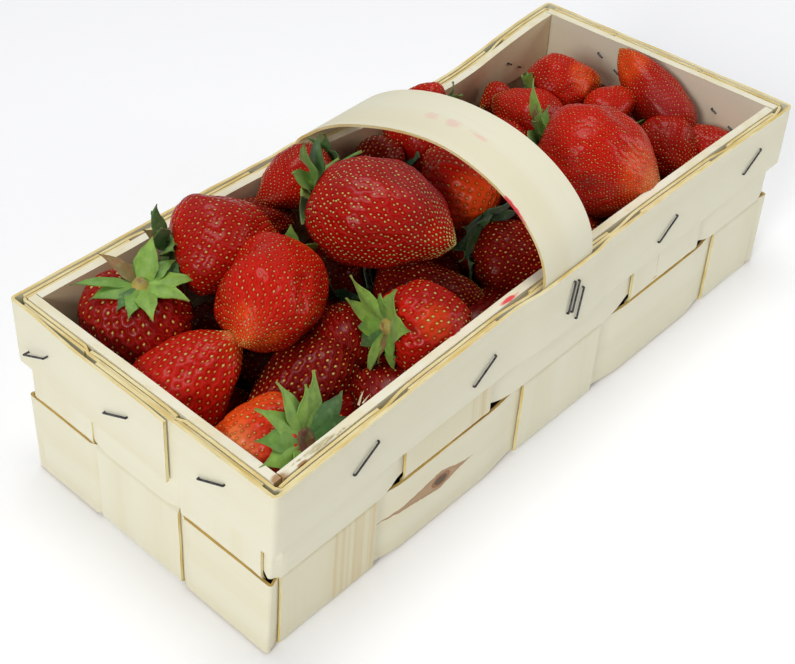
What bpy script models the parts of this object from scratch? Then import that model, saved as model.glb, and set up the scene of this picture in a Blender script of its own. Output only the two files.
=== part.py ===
"""Chip-wood punnet with a stapled bow handle, heaped with strawberries.

Five cross strips and three lengthwise strips are woven under the bottom and turned up as the walls.
Two weavers run round the walls, a rim band and four inner battens clamp them, and staples pass through.
All sizes below are millimetres; build_object turns them into metres. +X runs along the long side,
the overlap of the rim band is on the -X end, and z = 0 is the underside.
"""
import math

import bmesh
import bpy
from mathutils import Vector

MM = 0.001

# Overall height of the walls, and of the handle above them
HEIGHT = 72.5
HANDLE_RISE = 31.3

# Corners of the weave's outer face at the foot and at the rim: no two walls are quite parallel
FOOT = {"front": (-137.0, -55.0), "right": (135.3, -57.3), "back": (134.8, 56.0), "left": (-136.8, 56.2)}
RIM = {"front": (-134.5, -57.8), "right": (137.5, -54.8), "back": (133.4, 56.4), "left": (-134.3, 57.1)}

# Stock
VENEER = 1.0
RIM_THICK = 1.1
BATTEN_THICK = 3.0
CLEAR = 0.3
LAYER = VENEER + 0.4
WEAVE_DEPTH = LAYER + VENEER
CORNER_STEPS = 4
LOWER_RADIUS = 1.2
UPPER_RADIUS = LAYER + 1.2
BAND_RADIUS = 0.6
WEAVE_EDGE = 0.8

# Heights up the wall
WEAVER_SPLIT = 33.0
SPLIT_GAP = 1.6
WEAVE_TOP = HEIGHT - 0.8
RIM_BOTTOM = HEIGHT - 24.5
BATTEN_BOTTOM = HEIGHT - 21.5
BATTEN_TOP = HEIGHT - 0.2

# The rim band's outer face stands outside the weave
RIM_PROUD = RIM_THICK + CLEAR

# Each side's corners in order of x or y, and the axis that it runs along; quarter turns to each corner
SIDES = {"near": ("front", "right", 0), "far": ("left", "back", 0), "left": ("front", "left", 1),
         "right": ("right", "back", 1)}
CORNER_START = {"front": 2, "right": 3, "back": 0, "left": 1}

# Strips, as the ranges that they cover along x (cross strips) and y (lengthwise strips)
CROSS = [(-131.4, -90.6), (-78.2, -37.0), (-18.6, 24.7), (42.3, 85.2), (98.2, 129.6)]
LENGTHWISE = [(-52.2, -17.6), (-16.2, 22.2), (23.6, 53.0)]

# The top of each long wall leans in between the corners, and not at all from BOW_END outward
BOW_END = 131.0
NEAR_BOW = 2.0
FAR_BOW = 8.0
FAR_BOW_CENTRE = 52.0
FAR_BOW_REACH = 50.0

# Handle
HANDLE = (-14.1, 11.3)
HANDLE_THICK = 1.0
HANDLE_CREST_Y = -8.0
HANDLE_TWIST = 3.2
HANDLE_STEPS = 9
BULGE_RUN = 12.0

# Rim band overlap on the -X end
OVERLAP_END = -15.8
OVERLAP_START = 16.5
OVERLAP_RISE = (50.0, 22.0)

# Staples: (place along the wall, rightward as seen from outside, and height), with a tilt on the handle's
STAPLE_CROWN = 12.7
STAPLE_WIRE = 0.8
STAPLE_CLINCH = 2.6
STAPLE_TILT = 32.0
END_TILT = 26.0
STAPLE_INSIDE = WEAVE_DEPTH + BATTEN_THICK + 2.5 * CLEAR
LONG_STAPLES = [(-98.9, 60.0), (-43.9, 57.0), (58.4, 57.3), (113.5, 59.3)]
FAR_STAPLES = [(99.0, 58.5), (49.0, 57.0), (-48.0, 57.5), (-102.0, 59.8)]
SHORT_STAPLES = [(-45.6, 57.6), (-6.5, 59.6), (33.7, 60.6)]
RIGHT_STAPLES = [(-33.0, 59.0), (-5.0, 60.5), (21.0, 61.5)]
HANDLE_STAPLES = [(-0.9, 61.5, 78.0), (1.4, 60.8, 78.0), (4.3, 56.4, 78.0)]

# Strawberries: centre x, y, z; length, width, thickness; heading and pitch from the calyx to the tip
BERRIES = [
    (-107, 34, 58, 41, 35, 34, 92, -79),
    (-73, 29, 76, 37, 36, 30, -31, -6),
    (-45, 39, 61, 28, 21, 20, -8, 4),
    (-32, 41, 69, 22, 22, 20, 122, 11),
    (-22, 40, 76, 18, 17, 17, 101, 13),
    (-30, -1, 80, 51, 41, 33, -69, -9),
    (-81, 2, 74, 56, 32, 30, -152, 8),
    (-112, 1, 64, 35, 30, 28, -15, 34),
    (-117, -31, 59, 38, 29, 28, 112, -31),
    (-85, -17, 51, 43, 28, 27, 177, 3),
    (-49, -38, 67, 32, 29, 27, -23, -18),
    (-23, -16, 50, 39, 29, 28, -52, 6),
    (8, 0, 73, 35, 26, 25, 75, 16),
    (10, -26, 53, 30, 29, 28, -45, 6),
    (6, 36, 64, 21, 22, 21, 164, 0),
    (28, 34, 82, 17, 15, 15, 113, 0),
    (53, -29, 75, 45, 47, 40, -64, -13),
    (71, 22, 65, 26, 21, 20, 82, -4),
    (96, 18, 67, 30, 24, 23, -23, -4),
    (77, 38, 59, 15, 14, 14, 170, -7),
    (117, -8, 64, 44, 24, 23, 92, 27),
    (99, -2, 65, 23, 13, 12, -11, 5),
    (103, -27, 54, 30, 22, 21, -119, -8),
    (117, -35, 55, 23, 18, 17, 108, 15),
    (-37, 13, 50, 25, 21, 20, 32, 0),
    (28, -34, 58, 34, 28, 27, 20, 0),
    (30, 8, 62, 36, 29, 28, -60, -10),
    (54, 16, 58, 32, 26, 26, 40, 0),
    (84, -12, 56, 34, 28, 27, 0, 0),
    (111, 34, 48, 32, 26, 25, 70, -10),
    (-60, -10, 50, 36, 29, 28, 30, 0),
    (-72, -41, 48, 30, 26, 25, -160, 0),
    (28, 33, 66, 30, 26, 25, 10, 0),
]
BERRY_SHOULDER = 0.34
HEAP_FLOOR = 2 * LAYER + 0.2
HEAP_BED = 45.0
HEAP_BED_WAVE = 2.5
HEAP_COLUMNS = 52
HEAP_ROWS = 21
HEAP_PROBE = 1.5


def clear_scene():
    for existing in list(bpy.data.objects):
        bpy.data.objects.remove(existing, do_unlink=True)


def make_material(name, colour, roughness, metallic=0.0):
    material = bpy.data.materials.new(name)
    material.use_nodes = True
    shader = material.node_tree.nodes["Principled BSDF"]
    shader.inputs["Base Color"].default_value = (*colour, 1.0)
    shader.inputs["Roughness"].default_value = roughness
    shader.inputs["Metallic"].default_value = metallic
    return material


def build_object(name, vertices, faces, material):
    """Make one closed object from millimetre vertices, triangulated so that neighbours share planes."""
    mesh = bpy.data.meshes.new(name)
    mesh.from_pydata([Vector(v) * MM for v in vertices], [], faces)
    mesh.materials.append(material)
    model = bmesh.new()
    model.from_mesh(mesh)
    bmesh.ops.recalc_face_normals(model, faces=model.faces)
    model.to_mesh(mesh)
    model.free()
    made = bpy.data.objects.new(name, mesh)
    bpy.context.collection.objects.link(made)
    return made


def shell(name, outer, inner, material, closed=False):
    """A sheet between two grids of points, given as columns of equal height, with its edges closed."""
    rows, count = len(outer[0]), len(outer)
    vertices = []
    for outside, inside in zip(outer, inner):
        vertices += list(outside) + list(inside)
    faces = []

    def quad(*corners):
        """Split on the diagonal through the corner lowest along x + z, so that layers bend alike."""
        first = min(range(4), key=lambda k: round(vertices[corners[k]][0] + vertices[corners[k]][2], 4))
        a, b, c, d = corners[first:] + corners[:first]
        faces.extend([(a, b, c), (a, c, d)])

    for i in range(count if closed else count - 1):
        here, there = 2 * rows * i, 2 * rows * ((i + 1) % count)
        for shift in (0, rows):
            for k in range(rows - 1):
                low, high = shift + k, shift + k + 1
                quad(here + low, there + low, there + high, here + high)
        for k in (0, rows - 1):
            quad(here + k, there + k, there + rows + k, here + rows + k)
    if not closed:
        for start in (0, 2 * rows * (count - 1)):
            for k in range(rows - 1):
                quad(start + k, start + rows + k, start + rows + k + 1, start + k + 1)
    return build_object(name, vertices, faces, material)


# ---------------------------------------------------------------- the wall surface

def wall_nodes():
    """Every x where a long wall's surface may bend: strip edges and the sides of the handle's bulge."""
    nodes = []
    for low, high in CROSS:
        nodes += [low - WEAVE_EDGE, high + WEAVE_EDGE]
    bulge = WEAVE_EDGE + BULGE_RUN
    nodes += [HANDLE[0] - bulge, HANDLE[0] - WEAVE_EDGE, HANDLE[1] + WEAVE_EDGE, HANDLE[1] + bulge]
    return sorted(nodes)


def bow_at_node(side, x):
    if side == "near":
        return NEAR_BOW * max(0.0, 1.0 - (x / BOW_END) ** 2)
    fade = max(0.0, 1.0 - (abs(x) / BOW_END) ** 8)
    return FAR_BOW * math.exp(-(((x - FAR_BOW_CENTRE) / FAR_BOW_REACH) ** 2)) * fade


def bow(side, x):
    """Inward lean of the top edge at x, straight between the wall nodes and nil at the corners."""
    ends = [-BOW_END, BOW_END]
    nodes = [ends[0]] + wall_nodes() + [ends[1]]
    values = [0.0] + [bow_at_node(side, node) for node in wall_nodes()] + [0.0]
    if x <= ends[0] or x >= ends[1]:
        return 0.0
    for left, right, start, end in zip(nodes, nodes[1:], values, values[1:]):
        if left <= x <= right:
            return start + (end - start) * (x - left) / max(right - left, 1e-9)
    return 0.0


def lean(z):
    """How much of the bow a height has: none below the split between the weavers."""
    foot = WEAVER_SPLIT + SPLIT_GAP / 2
    return min(max((z - foot) / (HEIGHT - foot), 0.0), 1.0)


def corner_at(name, z):
    """Where the outer faces of two walls would meet at a height, as [x, y]."""
    return [foot + (rim - foot) * z / HEIGHT for foot, rim in zip(FOOT[name], RIM[name])]


def face_at(side, along, z):
    """Place of a wall's outer face across its run, straight from corner to corner."""
    start, end, axis = SIDES[side]
    first, last = corner_at(start, z), corner_at(end, z)
    part = (along - first[axis]) / (last[axis] - first[axis])
    return first[1 - axis] + (last[1 - axis] - first[1 - axis]) * part


def wall_point(station, z, depth):
    """Point at a depth behind the weave's outer face; a station is (side, position along that side)."""
    side, along = station[0], station[1]
    if side == "near":
        return (along, face_at(side, along, z) + bow(side, along) * lean(z) + depth, z)
    if side == "far":
        return (along, face_at(side, along, z) - bow(side, along) * lean(z) - depth, z)
    if side == "left":
        return (face_at(side, along, z) + depth, along, z)
    if side == "right":
        return (face_at(side, along, z) - depth, along, z)
    name, radius, angle = along
    x, y = corner_at(name, z)
    reach = radius - depth
    x += reach * math.cos(angle) - math.copysign(radius, x)
    y += reach * math.sin(angle) - math.copysign(radius, y)
    return (x, y, z)


def corner_stations(name, radius):
    """Stations round one corner, counter-clockwise seen from above, by the radius of the weave's face."""
    start = CORNER_START[name] * math.pi / 2
    steps = [start + k * math.pi / 2 / CORNER_STEPS for k in range(CORNER_STEPS + 1)]
    return [("corner", (name, radius, angle)) for angle in steps]


def sheet(name, columns, levels, thickness, material, closed=False):
    """A bent sheet. A column is (station, depth, lowest z or None); every column has the same levels."""
    outer, inner = [], []
    for station, depth, low in columns:
        heights = [low if k == 0 and low is not None else z for k, z in enumerate(levels)]
        outer.append([wall_point(station, z, depth) for z in heights])
        inner.append([wall_point(station, z, depth + thickness) for z in heights])
    return shell(name, outer, inner, material, closed)


# ---------------------------------------------------------------- weave

def is_lower(cross, lengthwise):
    """Plain weave: whether cross strip number `cross` passes under lengthwise strip number `lengthwise`."""
    return (cross + lengthwise) % 2 == 0


def wall_offsets(outside_below):
    """Depths of a strip below and above the split: it changes layer where the weavers meet."""
    return (0.0, LAYER) if outside_below else (LAYER, 0.0)


def strip_path(outside_below, crossings, wall_a, wall_b):
    """Section of a U-shaped strip as (kind, position, height or depth) steps, from one rim to the other."""
    below, above = wall_offsets(outside_below)
    low, high = WEAVER_SPLIT - SPLIT_GAP / 2, WEAVER_SPLIT + SPLIT_GAP / 2
    rise = [(wall_a, WEAVE_TOP, above), (wall_a, RIM_BOTTOM, above)]
    rise += [(wall_a, high, above), (wall_a, low, below)]
    fall = [(wall_b, z, depth) for _, z, depth in reversed(rise)]
    floor = [("fold", wall_a, below)]
    for (_, end), (start, _), level_a, level_b in crossings:
        floor += [("base", end + 0.2, level_a), ("base", start - 0.2, level_b)]
    floor += [("fold", wall_b, below)]
    return rise + floor + fall


def cross_strip(index, material):
    """A strip across the bottom and up both long walls."""
    low_x, high_x = CROSS[index]
    columns = [low_x] + [x for x in wall_nodes() if low_x < x < high_x] + [high_x]
    levels = [0.0 if is_lower(index, j) else LAYER for j in range(len(LENGTHWISE))]
    crossings = list(zip(LENGTHWISE, LENGTHWISE[1:], levels, levels[1:]))
    path = strip_path(is_lower(index, 0), crossings, "near", "far")
    return folded_strip(f"cross_strip_{index + 1}", path, columns, material, along_x=True)


def lengthwise_strip(index, material):
    """A strip along the bottom and up both ends."""
    low_y, high_y = LENGTHWISE[index]
    levels = [LAYER if is_lower(i, index) else 0.0 for i in range(len(CROSS))]
    inset = 2.0
    gaps = [((0.0, a[1] + inset), (b[0] - inset, 0.0)) for a, b in zip(CROSS, CROSS[1:])]
    crossings = [(end, start, a, b) for (end, start), a, b in zip(gaps, levels, levels[1:])]
    path = strip_path(levels[0] == 0.0, crossings, "left", "right")
    return folded_strip(f"lengthwise_strip_{index + 1}", path, [low_y, high_y], material, along_x=False)


def folded_strip(name, path, columns, material, along_x):
    """Sweep a strip of veneer, columns wide, along its folded path."""
    grids = []
    for layer in (0.0, VENEER):
        grid = []
        for across in columns:
            line = []
            for kind, place, level in path:
                if kind == "base":
                    line.append((across, place, level + layer) if along_x else (place, across, level + layer))
                elif kind == "fold":
                    line.append(wall_point((place, across), level + layer, level + layer))
                else:
                    line.append(wall_point((kind, across), place, level + layer))
            grid.append(line)
        grids.append(grid)
    return shell(name, grids[0], grids[1], material)


def weaver(name, outside_parity, low, high, levels, radius, material):
    """A weaver round the walls, in front of every cross strip whose number has the given parity."""
    def columns_on(side, strips, outside):
        found = []
        order = list(enumerate(strips))
        forward = side in ("near", "right")
        for index, (start, end) in order if forward else reversed(order):
            depth = 0.0 if outside(index) else LAYER
            edge = WEAVE_EDGE if strips is CROSS else 0.2
            ends = [start - edge, end + edge]
            inner = [x for x in wall_nodes() if ends[0] < x < ends[1]] if strips is CROSS else []
            stretch = [ends[0]] + inner + [ends[1]]
            stretch = stretch if forward else stretch[::-1]
            found += [((side, along), depth, low(depth)) for along in stretch]
        return found

    def on_long(index):
        return index % 2 == outside_parity

    def on_short(index):
        return index % 2 != outside_parity

    end_depth = 0.0 if on_short(0) else LAYER

    def turn(corner):
        return [(station, end_depth, low(end_depth)) for station in corner_stations(corner, radius)]

    columns = columns_on("left", LENGTHWISE, on_short) + turn("front")
    columns += columns_on("near", CROSS, on_long) + turn("right")
    columns += columns_on("right", LENGTHWISE, on_short) + turn("back")
    columns += columns_on("far", CROSS, on_long) + turn("left")
    return sheet(name, columns, levels + [high], VENEER, material, closed=True)


def make_weave(material):
    strips = [cross_strip(i, material) for i in range(len(CROSS))]
    strips += [lengthwise_strip(j, material) for j in range(len(LENGTHWISE))]
    lower_top = WEAVER_SPLIT - SPLIT_GAP / 2
    upper_bottom = WEAVER_SPLIT + SPLIT_GAP / 2

    def above_base(depth):
        return 0.5 if depth == 0.0 else LAYER

    def level_edge(depth):
        return upper_bottom

    lower = weaver("lower_weaver", 1, above_base, lower_top, [0.5], LOWER_RADIUS, material)
    levels = [upper_bottom, RIM_BOTTOM]
    upper = weaver("upper_weaver", 0, level_edge, WEAVE_TOP, levels, UPPER_RADIUS, material)
    return strips + [lower, upper]


# ---------------------------------------------------------------- rim, battens and handle

def make_rim_band(material):
    """The outer band: its ends overlap on the -X end, and it bulges over the feet of the handle."""
    flat = -RIM_PROUD
    proud = flat - HANDLE_THICK - CLEAR
    outer = flat - RIM_PROUD

    def along(side, forward):
        found = []
        for x in wall_nodes():
            over_handle = HANDLE[0] - WEAVE_EDGE <= x <= HANDLE[1] + WEAVE_EDGE
            found.append(((side, x), proud if over_handle else flat, None))
        return found if forward else found[::-1]

    def turn(corner):
        return [(station, flat, None) for station in corner_stations(corner, BAND_RADIUS)]

    columns = [(("left", OVERLAP_START), flat, None)] + turn("front") + along("near", True)
    columns += turn("right") + turn("back") + along("far", False) + turn("left")
    columns += [(("left", OVERLAP_RISE[0]), flat, None), (("left", OVERLAP_RISE[1]), outer, None)]
    columns += [(("left", OVERLAP_END), outer, None)]
    return sheet("rim_band", columns, [RIM_BOTTOM, HEIGHT], RIM_THICK, material)


def make_battens(material):
    """Four inner battens; the long ones fit between the two on the ends."""
    depth = WEAVE_DEPTH + CLEAR
    levels = [BATTEN_BOTTOM, BATTEN_TOP]
    end_gap = depth + BATTEN_THICK + CLEAR
    made = []
    for side, y in (("near", -50.0), ("far", 50.0)):
        low = max(face_at("left", y, z) for z in levels) + end_gap
        high = min(face_at("right", 1.2 * y, z) for z in levels) - end_gap
        places = [low] + [x for x in wall_nodes() if low < x < high] + [high]
        columns = [((side, x), depth, None) for x in places]
        made.append(sheet(f"batten_{side}", columns, levels, BATTEN_THICK, material))
    for side, x in (("left", -135.0), ("right", 136.0)):
        low = max(face_at("near", x, z) for z in levels) + depth
        high = min(face_at("far", x, z) for z in levels) - depth
        columns = [((side, low), depth, None), ((side, high), depth, None)]
        made.append(sheet(f"batten_{side}", columns, levels, BATTEN_THICK, material))
    return made


def handle_arc(near_foot, far_foot):
    """Centre line of the bow above the rim, from the near foot to the far one, as (y, z) pairs."""
    points = []
    for k in range(1, HANDLE_STEPS + 1):
        angle = 0.5 * math.pi * k / HANDLE_STEPS
        y = HANDLE_CREST_Y - (HANDLE_CREST_Y - near_foot) * math.cos(angle)
        points.append((y, HEIGHT + HANDLE_RISE * math.sin(angle)))
    for k in range(1, HANDLE_STEPS):
        angle = 0.5 * math.pi * (1.0 - k / HANDLE_STEPS)
        y = HANDLE_CREST_Y + (far_foot - HANDLE_CREST_Y) * math.cos(angle)
        points.append((y, HEIGHT + HANDLE_RISE * math.sin(angle) ** (2.0 / 1.5)))
    return points


def handle_sag(x, y, z):
    """How far the bow's edge nearer the overlap hangs below the other edge, on the far half."""
    share = (HANDLE[1] - x) / (HANDLE[1] - HANDLE[0])
    across = min(max((y + 15.0) / 45.0, 0.0), 1.0)
    above = min(max((z - HEIGHT) / 10.0, 0.0), 1.0)
    return HANDLE_TWIST * share * across * across * (3 - 2 * across) * above


def make_handle(material):
    """A flat strip: its feet lie between the rim band and the weave, and it bows over the berries."""
    middle = -CLEAR - HANDLE_THICK / 2
    columns = [HANDLE[0]] + [x for x in wall_nodes() if HANDLE[0] < x < HANDLE[1]] + [HANDLE[1]]
    outer, inner = [], []
    for x in columns:
        near = [wall_point(("near", x), z, middle)[1:] for z in (RIM_BOTTOM, HEIGHT)]
        far = [wall_point(("far", x), z, middle)[1:] for z in (HEIGHT, RIM_BOTTOM)]
        line = near + handle_arc(near[1][0], far[0][0]) + far
        above, below = [], []
        for k, (y, z) in enumerate(line):
            before, after = line[max(k - 1, 0)], line[min(k + 1, len(line) - 1)]
            run = Vector((after[0] - before[0], after[1] - before[1]))
            normal = Vector((-run.y, run.x)).normalized() * HANDLE_THICK / 2
            if k in (0, 1, len(line) - 2, len(line) - 1):
                normal = Vector((math.copysign(HANDLE_THICK / 2, y), 0.0))
            z -= handle_sag(x, y, z)
            above.append((x, y + normal.x, z + normal.y))
            below.append((x, y - normal.x, z - normal.y))
        outer.append(above)
        inner.append(below)
    return shell("handle", outer, inner, material)


# ---------------------------------------------------------------- staples

def staple_places():
    """Every staple as (name, side, position along the side, height, tilt, extra depth of the crown)."""
    bulge = HANDLE_THICK + CLEAR
    places = []
    for side, sign, row in (("near", 1, LONG_STAPLES), ("far", -1, FAR_STAPLES)):
        for k, (along, z) in enumerate(row):
            places.append((f"staple_{side}_{k + 1}", side, sign * along, z, STAPLE_TILT, 0.0))
        for k, (x, z, tilt) in enumerate(HANDLE_STAPLES):
            places.append((f"staple_{side}_handle_{k + 1}", side, x, z, tilt, bulge))
    for side, sign, row in (("left", -1, SHORT_STAPLES), ("right", 1, RIGHT_STAPLES)):
        for k, (along, z) in enumerate(row):
            y = sign * along
            under_overlap = side == "left" and y > OVERLAP_END
            bulge = RIM_PROUD if under_overlap else 0.0
            places.append((f"staple_{side}_{k + 1}", side, y, z, END_TILT, bulge))
    return places


def staple_frame(side, along, z, tilt):
    """Centre on the weave's face, and the directions along the crown, into the wall and across the wire."""
    step = STAPLE_CROWN / 2
    centre = Vector(wall_point((side, along), z, 0.0))
    run = Vector(wall_point((side, along + step), z, 0.0)) - Vector(wall_point((side, along - step), z, 0.0))
    rise = Vector(wall_point((side, along), z + step, 0.0)) - centre
    run = run.normalized() * (1.0 if side in ("near", "right") else -1.0)
    rise.normalize()
    inward = rise.cross(run).normalized()
    angle = math.radians(tilt)
    crown = run * math.cos(angle) + rise * math.sin(angle)
    return centre, crown, inward, inward.cross(crown)


def prism(outline, centre, along, inward, across, width):
    """Extrude an outline, given as (distance along, depth) pairs, by the width across it."""
    count = len(outline)
    vertices = []
    for shift in (-width / 2, width / 2):
        vertices += [tuple(centre + along * a + inward * d + across * shift) for a, d in outline]
    faces = [tuple(range(count)), tuple(range(2 * count - 1, count - 1, -1))]
    faces += [(k, (k + 1) % count, count + (k + 1) % count, count + k) for k in range(count)]
    return vertices, faces


def make_staples(material):
    """Flat-wire staples: crown outside, legs through the rim, tips folded over the batten inside."""
    made, holes = [], []
    for name, side, along, z, tilt, proud in staple_places():
        centre, crown, inward, across = staple_frame(side, along, z, tilt)
        half, wire = STAPLE_CROWN / 2, STAPLE_WIRE
        top = -RIM_PROUD - proud - CLEAR - wire
        inside = STAPLE_INSIDE
        fold = half - wire - STAPLE_CLINCH
        outline = [(-half, top), (half, top), (half, inside + wire), (fold, inside + wire), (fold, inside)]
        outline += [(half - wire, inside), (half - wire, top + wire), (-half + wire, top + wire)]
        outline += [(-half + wire, inside), (-fold, inside), (-fold, inside + wire), (-half, inside + wire)]
        vertices, faces = prism(outline, centre, crown, inward, across, wire)
        made.append(build_object(name, vertices, faces, material))
        for end in (-1, 1):
            middle = end * (half - wire / 2)
            reach = wire / 2 + CLEAR / 2 + 0.1
            outline = [(middle - reach, top), (middle + reach, top)]
            outline += [(middle + reach, inside + wire), (middle - reach, inside + wire)]
            holes.append(prism(outline, centre, crown, inward, across, 2 * reach))
    return made, holes


def cut_staple_holes(layers, holes, material):
    """Cut the legs' holes out of every layer with one shared cutter."""
    vertices, faces = [], []
    for hole_vertices, hole_faces in holes:
        start = len(vertices)
        vertices += hole_vertices
        faces += [tuple(start + corner for corner in face) for face in hole_faces]
    cutter = build_object("staple_hole_cutter", vertices, faces, material)
    cutter.hide_render = True
    cutter.display_type = "WIRE"
    for layer in layers:
        cut = layer.modifiers.new("staple_holes", "BOOLEAN")
        cut.operation = "DIFFERENCE"
        cut.solver = "EXACT"
        cut.object = cutter


# ---------------------------------------------------------------- berries

def berry_radius(t):
    """Outline of a strawberry: relative radius at a fraction of the way from the calyx to the tip."""
    if t <= 0.0 or t >= 1.0:
        return 0.0
    if t < BERRY_SHOULDER:
        return math.sqrt(1.0 - ((BERRY_SHOULDER - t) / BERRY_SHOULDER) ** 2.2)
    return (1.0 - ((t - BERRY_SHOULDER) / (1.0 - BERRY_SHOULDER)) ** 1.75) ** 0.72


def berry_axes(heading, pitch):
    heading, pitch = math.radians(heading), math.radians(pitch)
    axis = Vector((math.cos(pitch) * math.cos(heading), math.cos(pitch) * math.sin(heading), math.sin(pitch)))
    side = Vector((-math.sin(heading), math.cos(heading), 0.0))
    return axis, side, axis.cross(side)


def inside_berry(berry, axes, x, y, z):
    cx, cy, cz, length, width, thick = berry[:6]
    away = Vector((x - cx, y - cy, z - cz))
    along, across, up = (away.dot(axis) for axis in axes)
    radius = berry_radius(along / length + 0.5)
    return radius > 0.0 and math.hypot(2 * across / width, 2 * up / thick) < radius


def berry_top(berry, axes, x, y):
    """Height of a berry's upper surface over a point, or nothing outside it."""
    reach = (berry[3] + berry[4]) / 2
    if math.hypot(x - berry[0], y - berry[1]) > reach:
        return 0.0
    z = berry[2] + reach
    while z > berry[2] - reach:
        if inside_berry(berry, axes, x, y, z):
            low, high = z, z + HEAP_PROBE
            for _ in range(6):
                middle = (low + high) / 2
                if inside_berry(berry, axes, x, y, middle):
                    low = middle
                else:
                    high = middle
            return low
        z -= HEAP_PROBE
    return 0.0


def heap_height(x, y):
    bed = HEAP_BED + HEAP_BED_WAVE * math.sin(x / 9.0) * math.cos(y / 8.0)
    return max([bed] + [berry_top(berry, berry_axes(*berry[6:]), x, y) for berry in BERRIES])


def make_berry_heap(material):
    """The heap as one solid out to its uneven top, filling the basket inside the battens."""
    inset = STAPLE_INSIDE + STAPLE_WIRE + 2 * CLEAR
    start = max(corners[side][0] for corners in (FOOT, RIM) for side in ("front", "left")) + inset
    end = min(corners[side][0] for corners in (FOOT, RIM) for side in ("right", "back")) - inset
    columns = [start + (end - start) * i / HEAP_COLUMNS for i in range(HEAP_COLUMNS + 1)]
    vertices, faces = [], []
    for x in columns:
        slack = bow_slack(x, (end - start) / HEAP_COLUMNS)
        near = max(face_at("near", x, 0.0), face_at("near", x, HEIGHT) + slack[0]) + inset
        far = min(face_at("far", x, 0.0), face_at("far", x, HEIGHT) - slack[1]) - inset
        for j in range(HEAP_ROWS + 1):
            y = near + (far - near) * j / HEAP_ROWS
            vertices.append((x, y, heap_height(x, y)))
    rows = HEAP_ROWS + 1
    for i in range(HEAP_COLUMNS):
        for j in range(HEAP_ROWS):
            corner = rows * i + j
            faces.append((corner, corner + rows, corner + rows + 1))
            faces.append((corner, corner + rows + 1, corner + 1))
    last = rows * HEAP_COLUMNS
    rim = [rows * i for i in range(HEAP_COLUMNS + 1)] + [last + j for j in range(1, rows)]
    rim += [rows * i + HEAP_ROWS for i in range(HEAP_COLUMNS - 1, -1, -1)]
    rim += [j for j in range(HEAP_ROWS - 1, 0, -1)]
    base = len(vertices)
    vertices += [(vertices[k][0], vertices[k][1], HEAP_FLOOR) for k in rim]
    for k in range(len(rim)):
        after = (k + 1) % len(rim)
        faces.append((rim[k], rim[after], base + after, base + k))
    faces.append(tuple(base + k for k in range(len(rim))))
    return build_object("berry_heap", vertices, faces, material)


def bow_slack(x, step):
    """Largest lean of the near and far walls within a step of x."""
    spots = [x - step, x, x + step]
    return [max(bow(side, spot) for spot in spots) for side in ("near", "far")]


def main():
    clear_scene()
    wood = make_material("pale_veneer", (0.83, 0.76, 0.60), 0.62)
    wire = make_material("staple_wire", (0.25, 0.26, 0.27), 0.38, 1.0)
    fruit = make_material("strawberry", (0.55, 0.02, 0.02), 0.30)
    layers = make_weave(wood)
    layers.append(make_rim_band(wood))
    layers += make_battens(wood)
    layers.append(make_handle(wood))
    _, holes = make_staples(wire)
    cut_staple_holes(layers, holes, wire)
    make_berry_heap(fruit)


main()
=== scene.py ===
"""Strawberries heaped in a long punnet of woven chip wood with a stapled bow handle.

Lengths are millimetres here, and each mesh is turned into metres as it is made.
+X runs along the long side, the overlap of the rim band is on the -X end, and z = 0 is the underside.
"""
import math

import bmesh
import bpy
import numpy as np
from mathutils import Euler, Matrix, Vector, noise


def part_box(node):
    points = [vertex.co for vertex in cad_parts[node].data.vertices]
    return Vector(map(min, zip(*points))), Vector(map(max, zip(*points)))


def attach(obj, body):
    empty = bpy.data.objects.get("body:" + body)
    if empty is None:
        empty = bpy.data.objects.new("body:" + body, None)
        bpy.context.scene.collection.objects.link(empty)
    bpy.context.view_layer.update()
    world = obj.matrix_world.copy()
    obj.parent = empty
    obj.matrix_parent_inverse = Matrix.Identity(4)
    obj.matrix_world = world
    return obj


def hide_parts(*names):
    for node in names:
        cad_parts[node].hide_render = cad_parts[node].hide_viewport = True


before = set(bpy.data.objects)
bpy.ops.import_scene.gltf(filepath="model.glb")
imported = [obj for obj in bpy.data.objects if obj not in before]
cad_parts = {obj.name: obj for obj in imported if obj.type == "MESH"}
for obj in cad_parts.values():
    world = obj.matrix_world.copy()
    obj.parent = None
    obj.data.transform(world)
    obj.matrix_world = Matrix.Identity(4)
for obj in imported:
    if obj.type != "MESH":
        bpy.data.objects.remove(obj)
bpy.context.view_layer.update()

MM = 0.001


# ---------------------------------------------------------------- sizes of the basket

HEIGHT = 72.5
WEAVE_TOP = 71.7
RIM_BOTTOM = 48.0
SPLIT_LOW, SPLIT_HIGH = 32.2, 33.8
BATTEN_BOTTOM, BATTEN_TOP = 51.0, 72.3
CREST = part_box("handle")[1].z / MM
HANDLE = (-14.1, 11.3)
CROSS = [(-131.4, -90.6), (-78.2, -37.0), (-18.6, 24.7), (42.3, 85.2), (98.2, 129.6)]
LENGTHWISE = [(-52.2, -17.6), (-16.2, 22.2), (23.6, 53.0)]

# Corners of the weave's outer face at the foot and at the rim: no two walls are quite parallel
FOOT = {"front": (-137.0, -55.0), "right": (135.3, -57.3), "back": (134.8, 56.0), "left": (-136.8, 56.2)}
RIM = {"front": (-134.5, -57.8), "right": (137.5, -54.8), "back": (133.4, 56.4), "left": (-134.3, 57.1)}
SIDES = {"near": ("front", "right", 0), "far": ("left", "back", 0), "left": ("front", "left", 1),
         "right": ("right", "back", 1)}
CORNER_START = {"front": 2, "right": 3, "back": 0, "left": 1}

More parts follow.
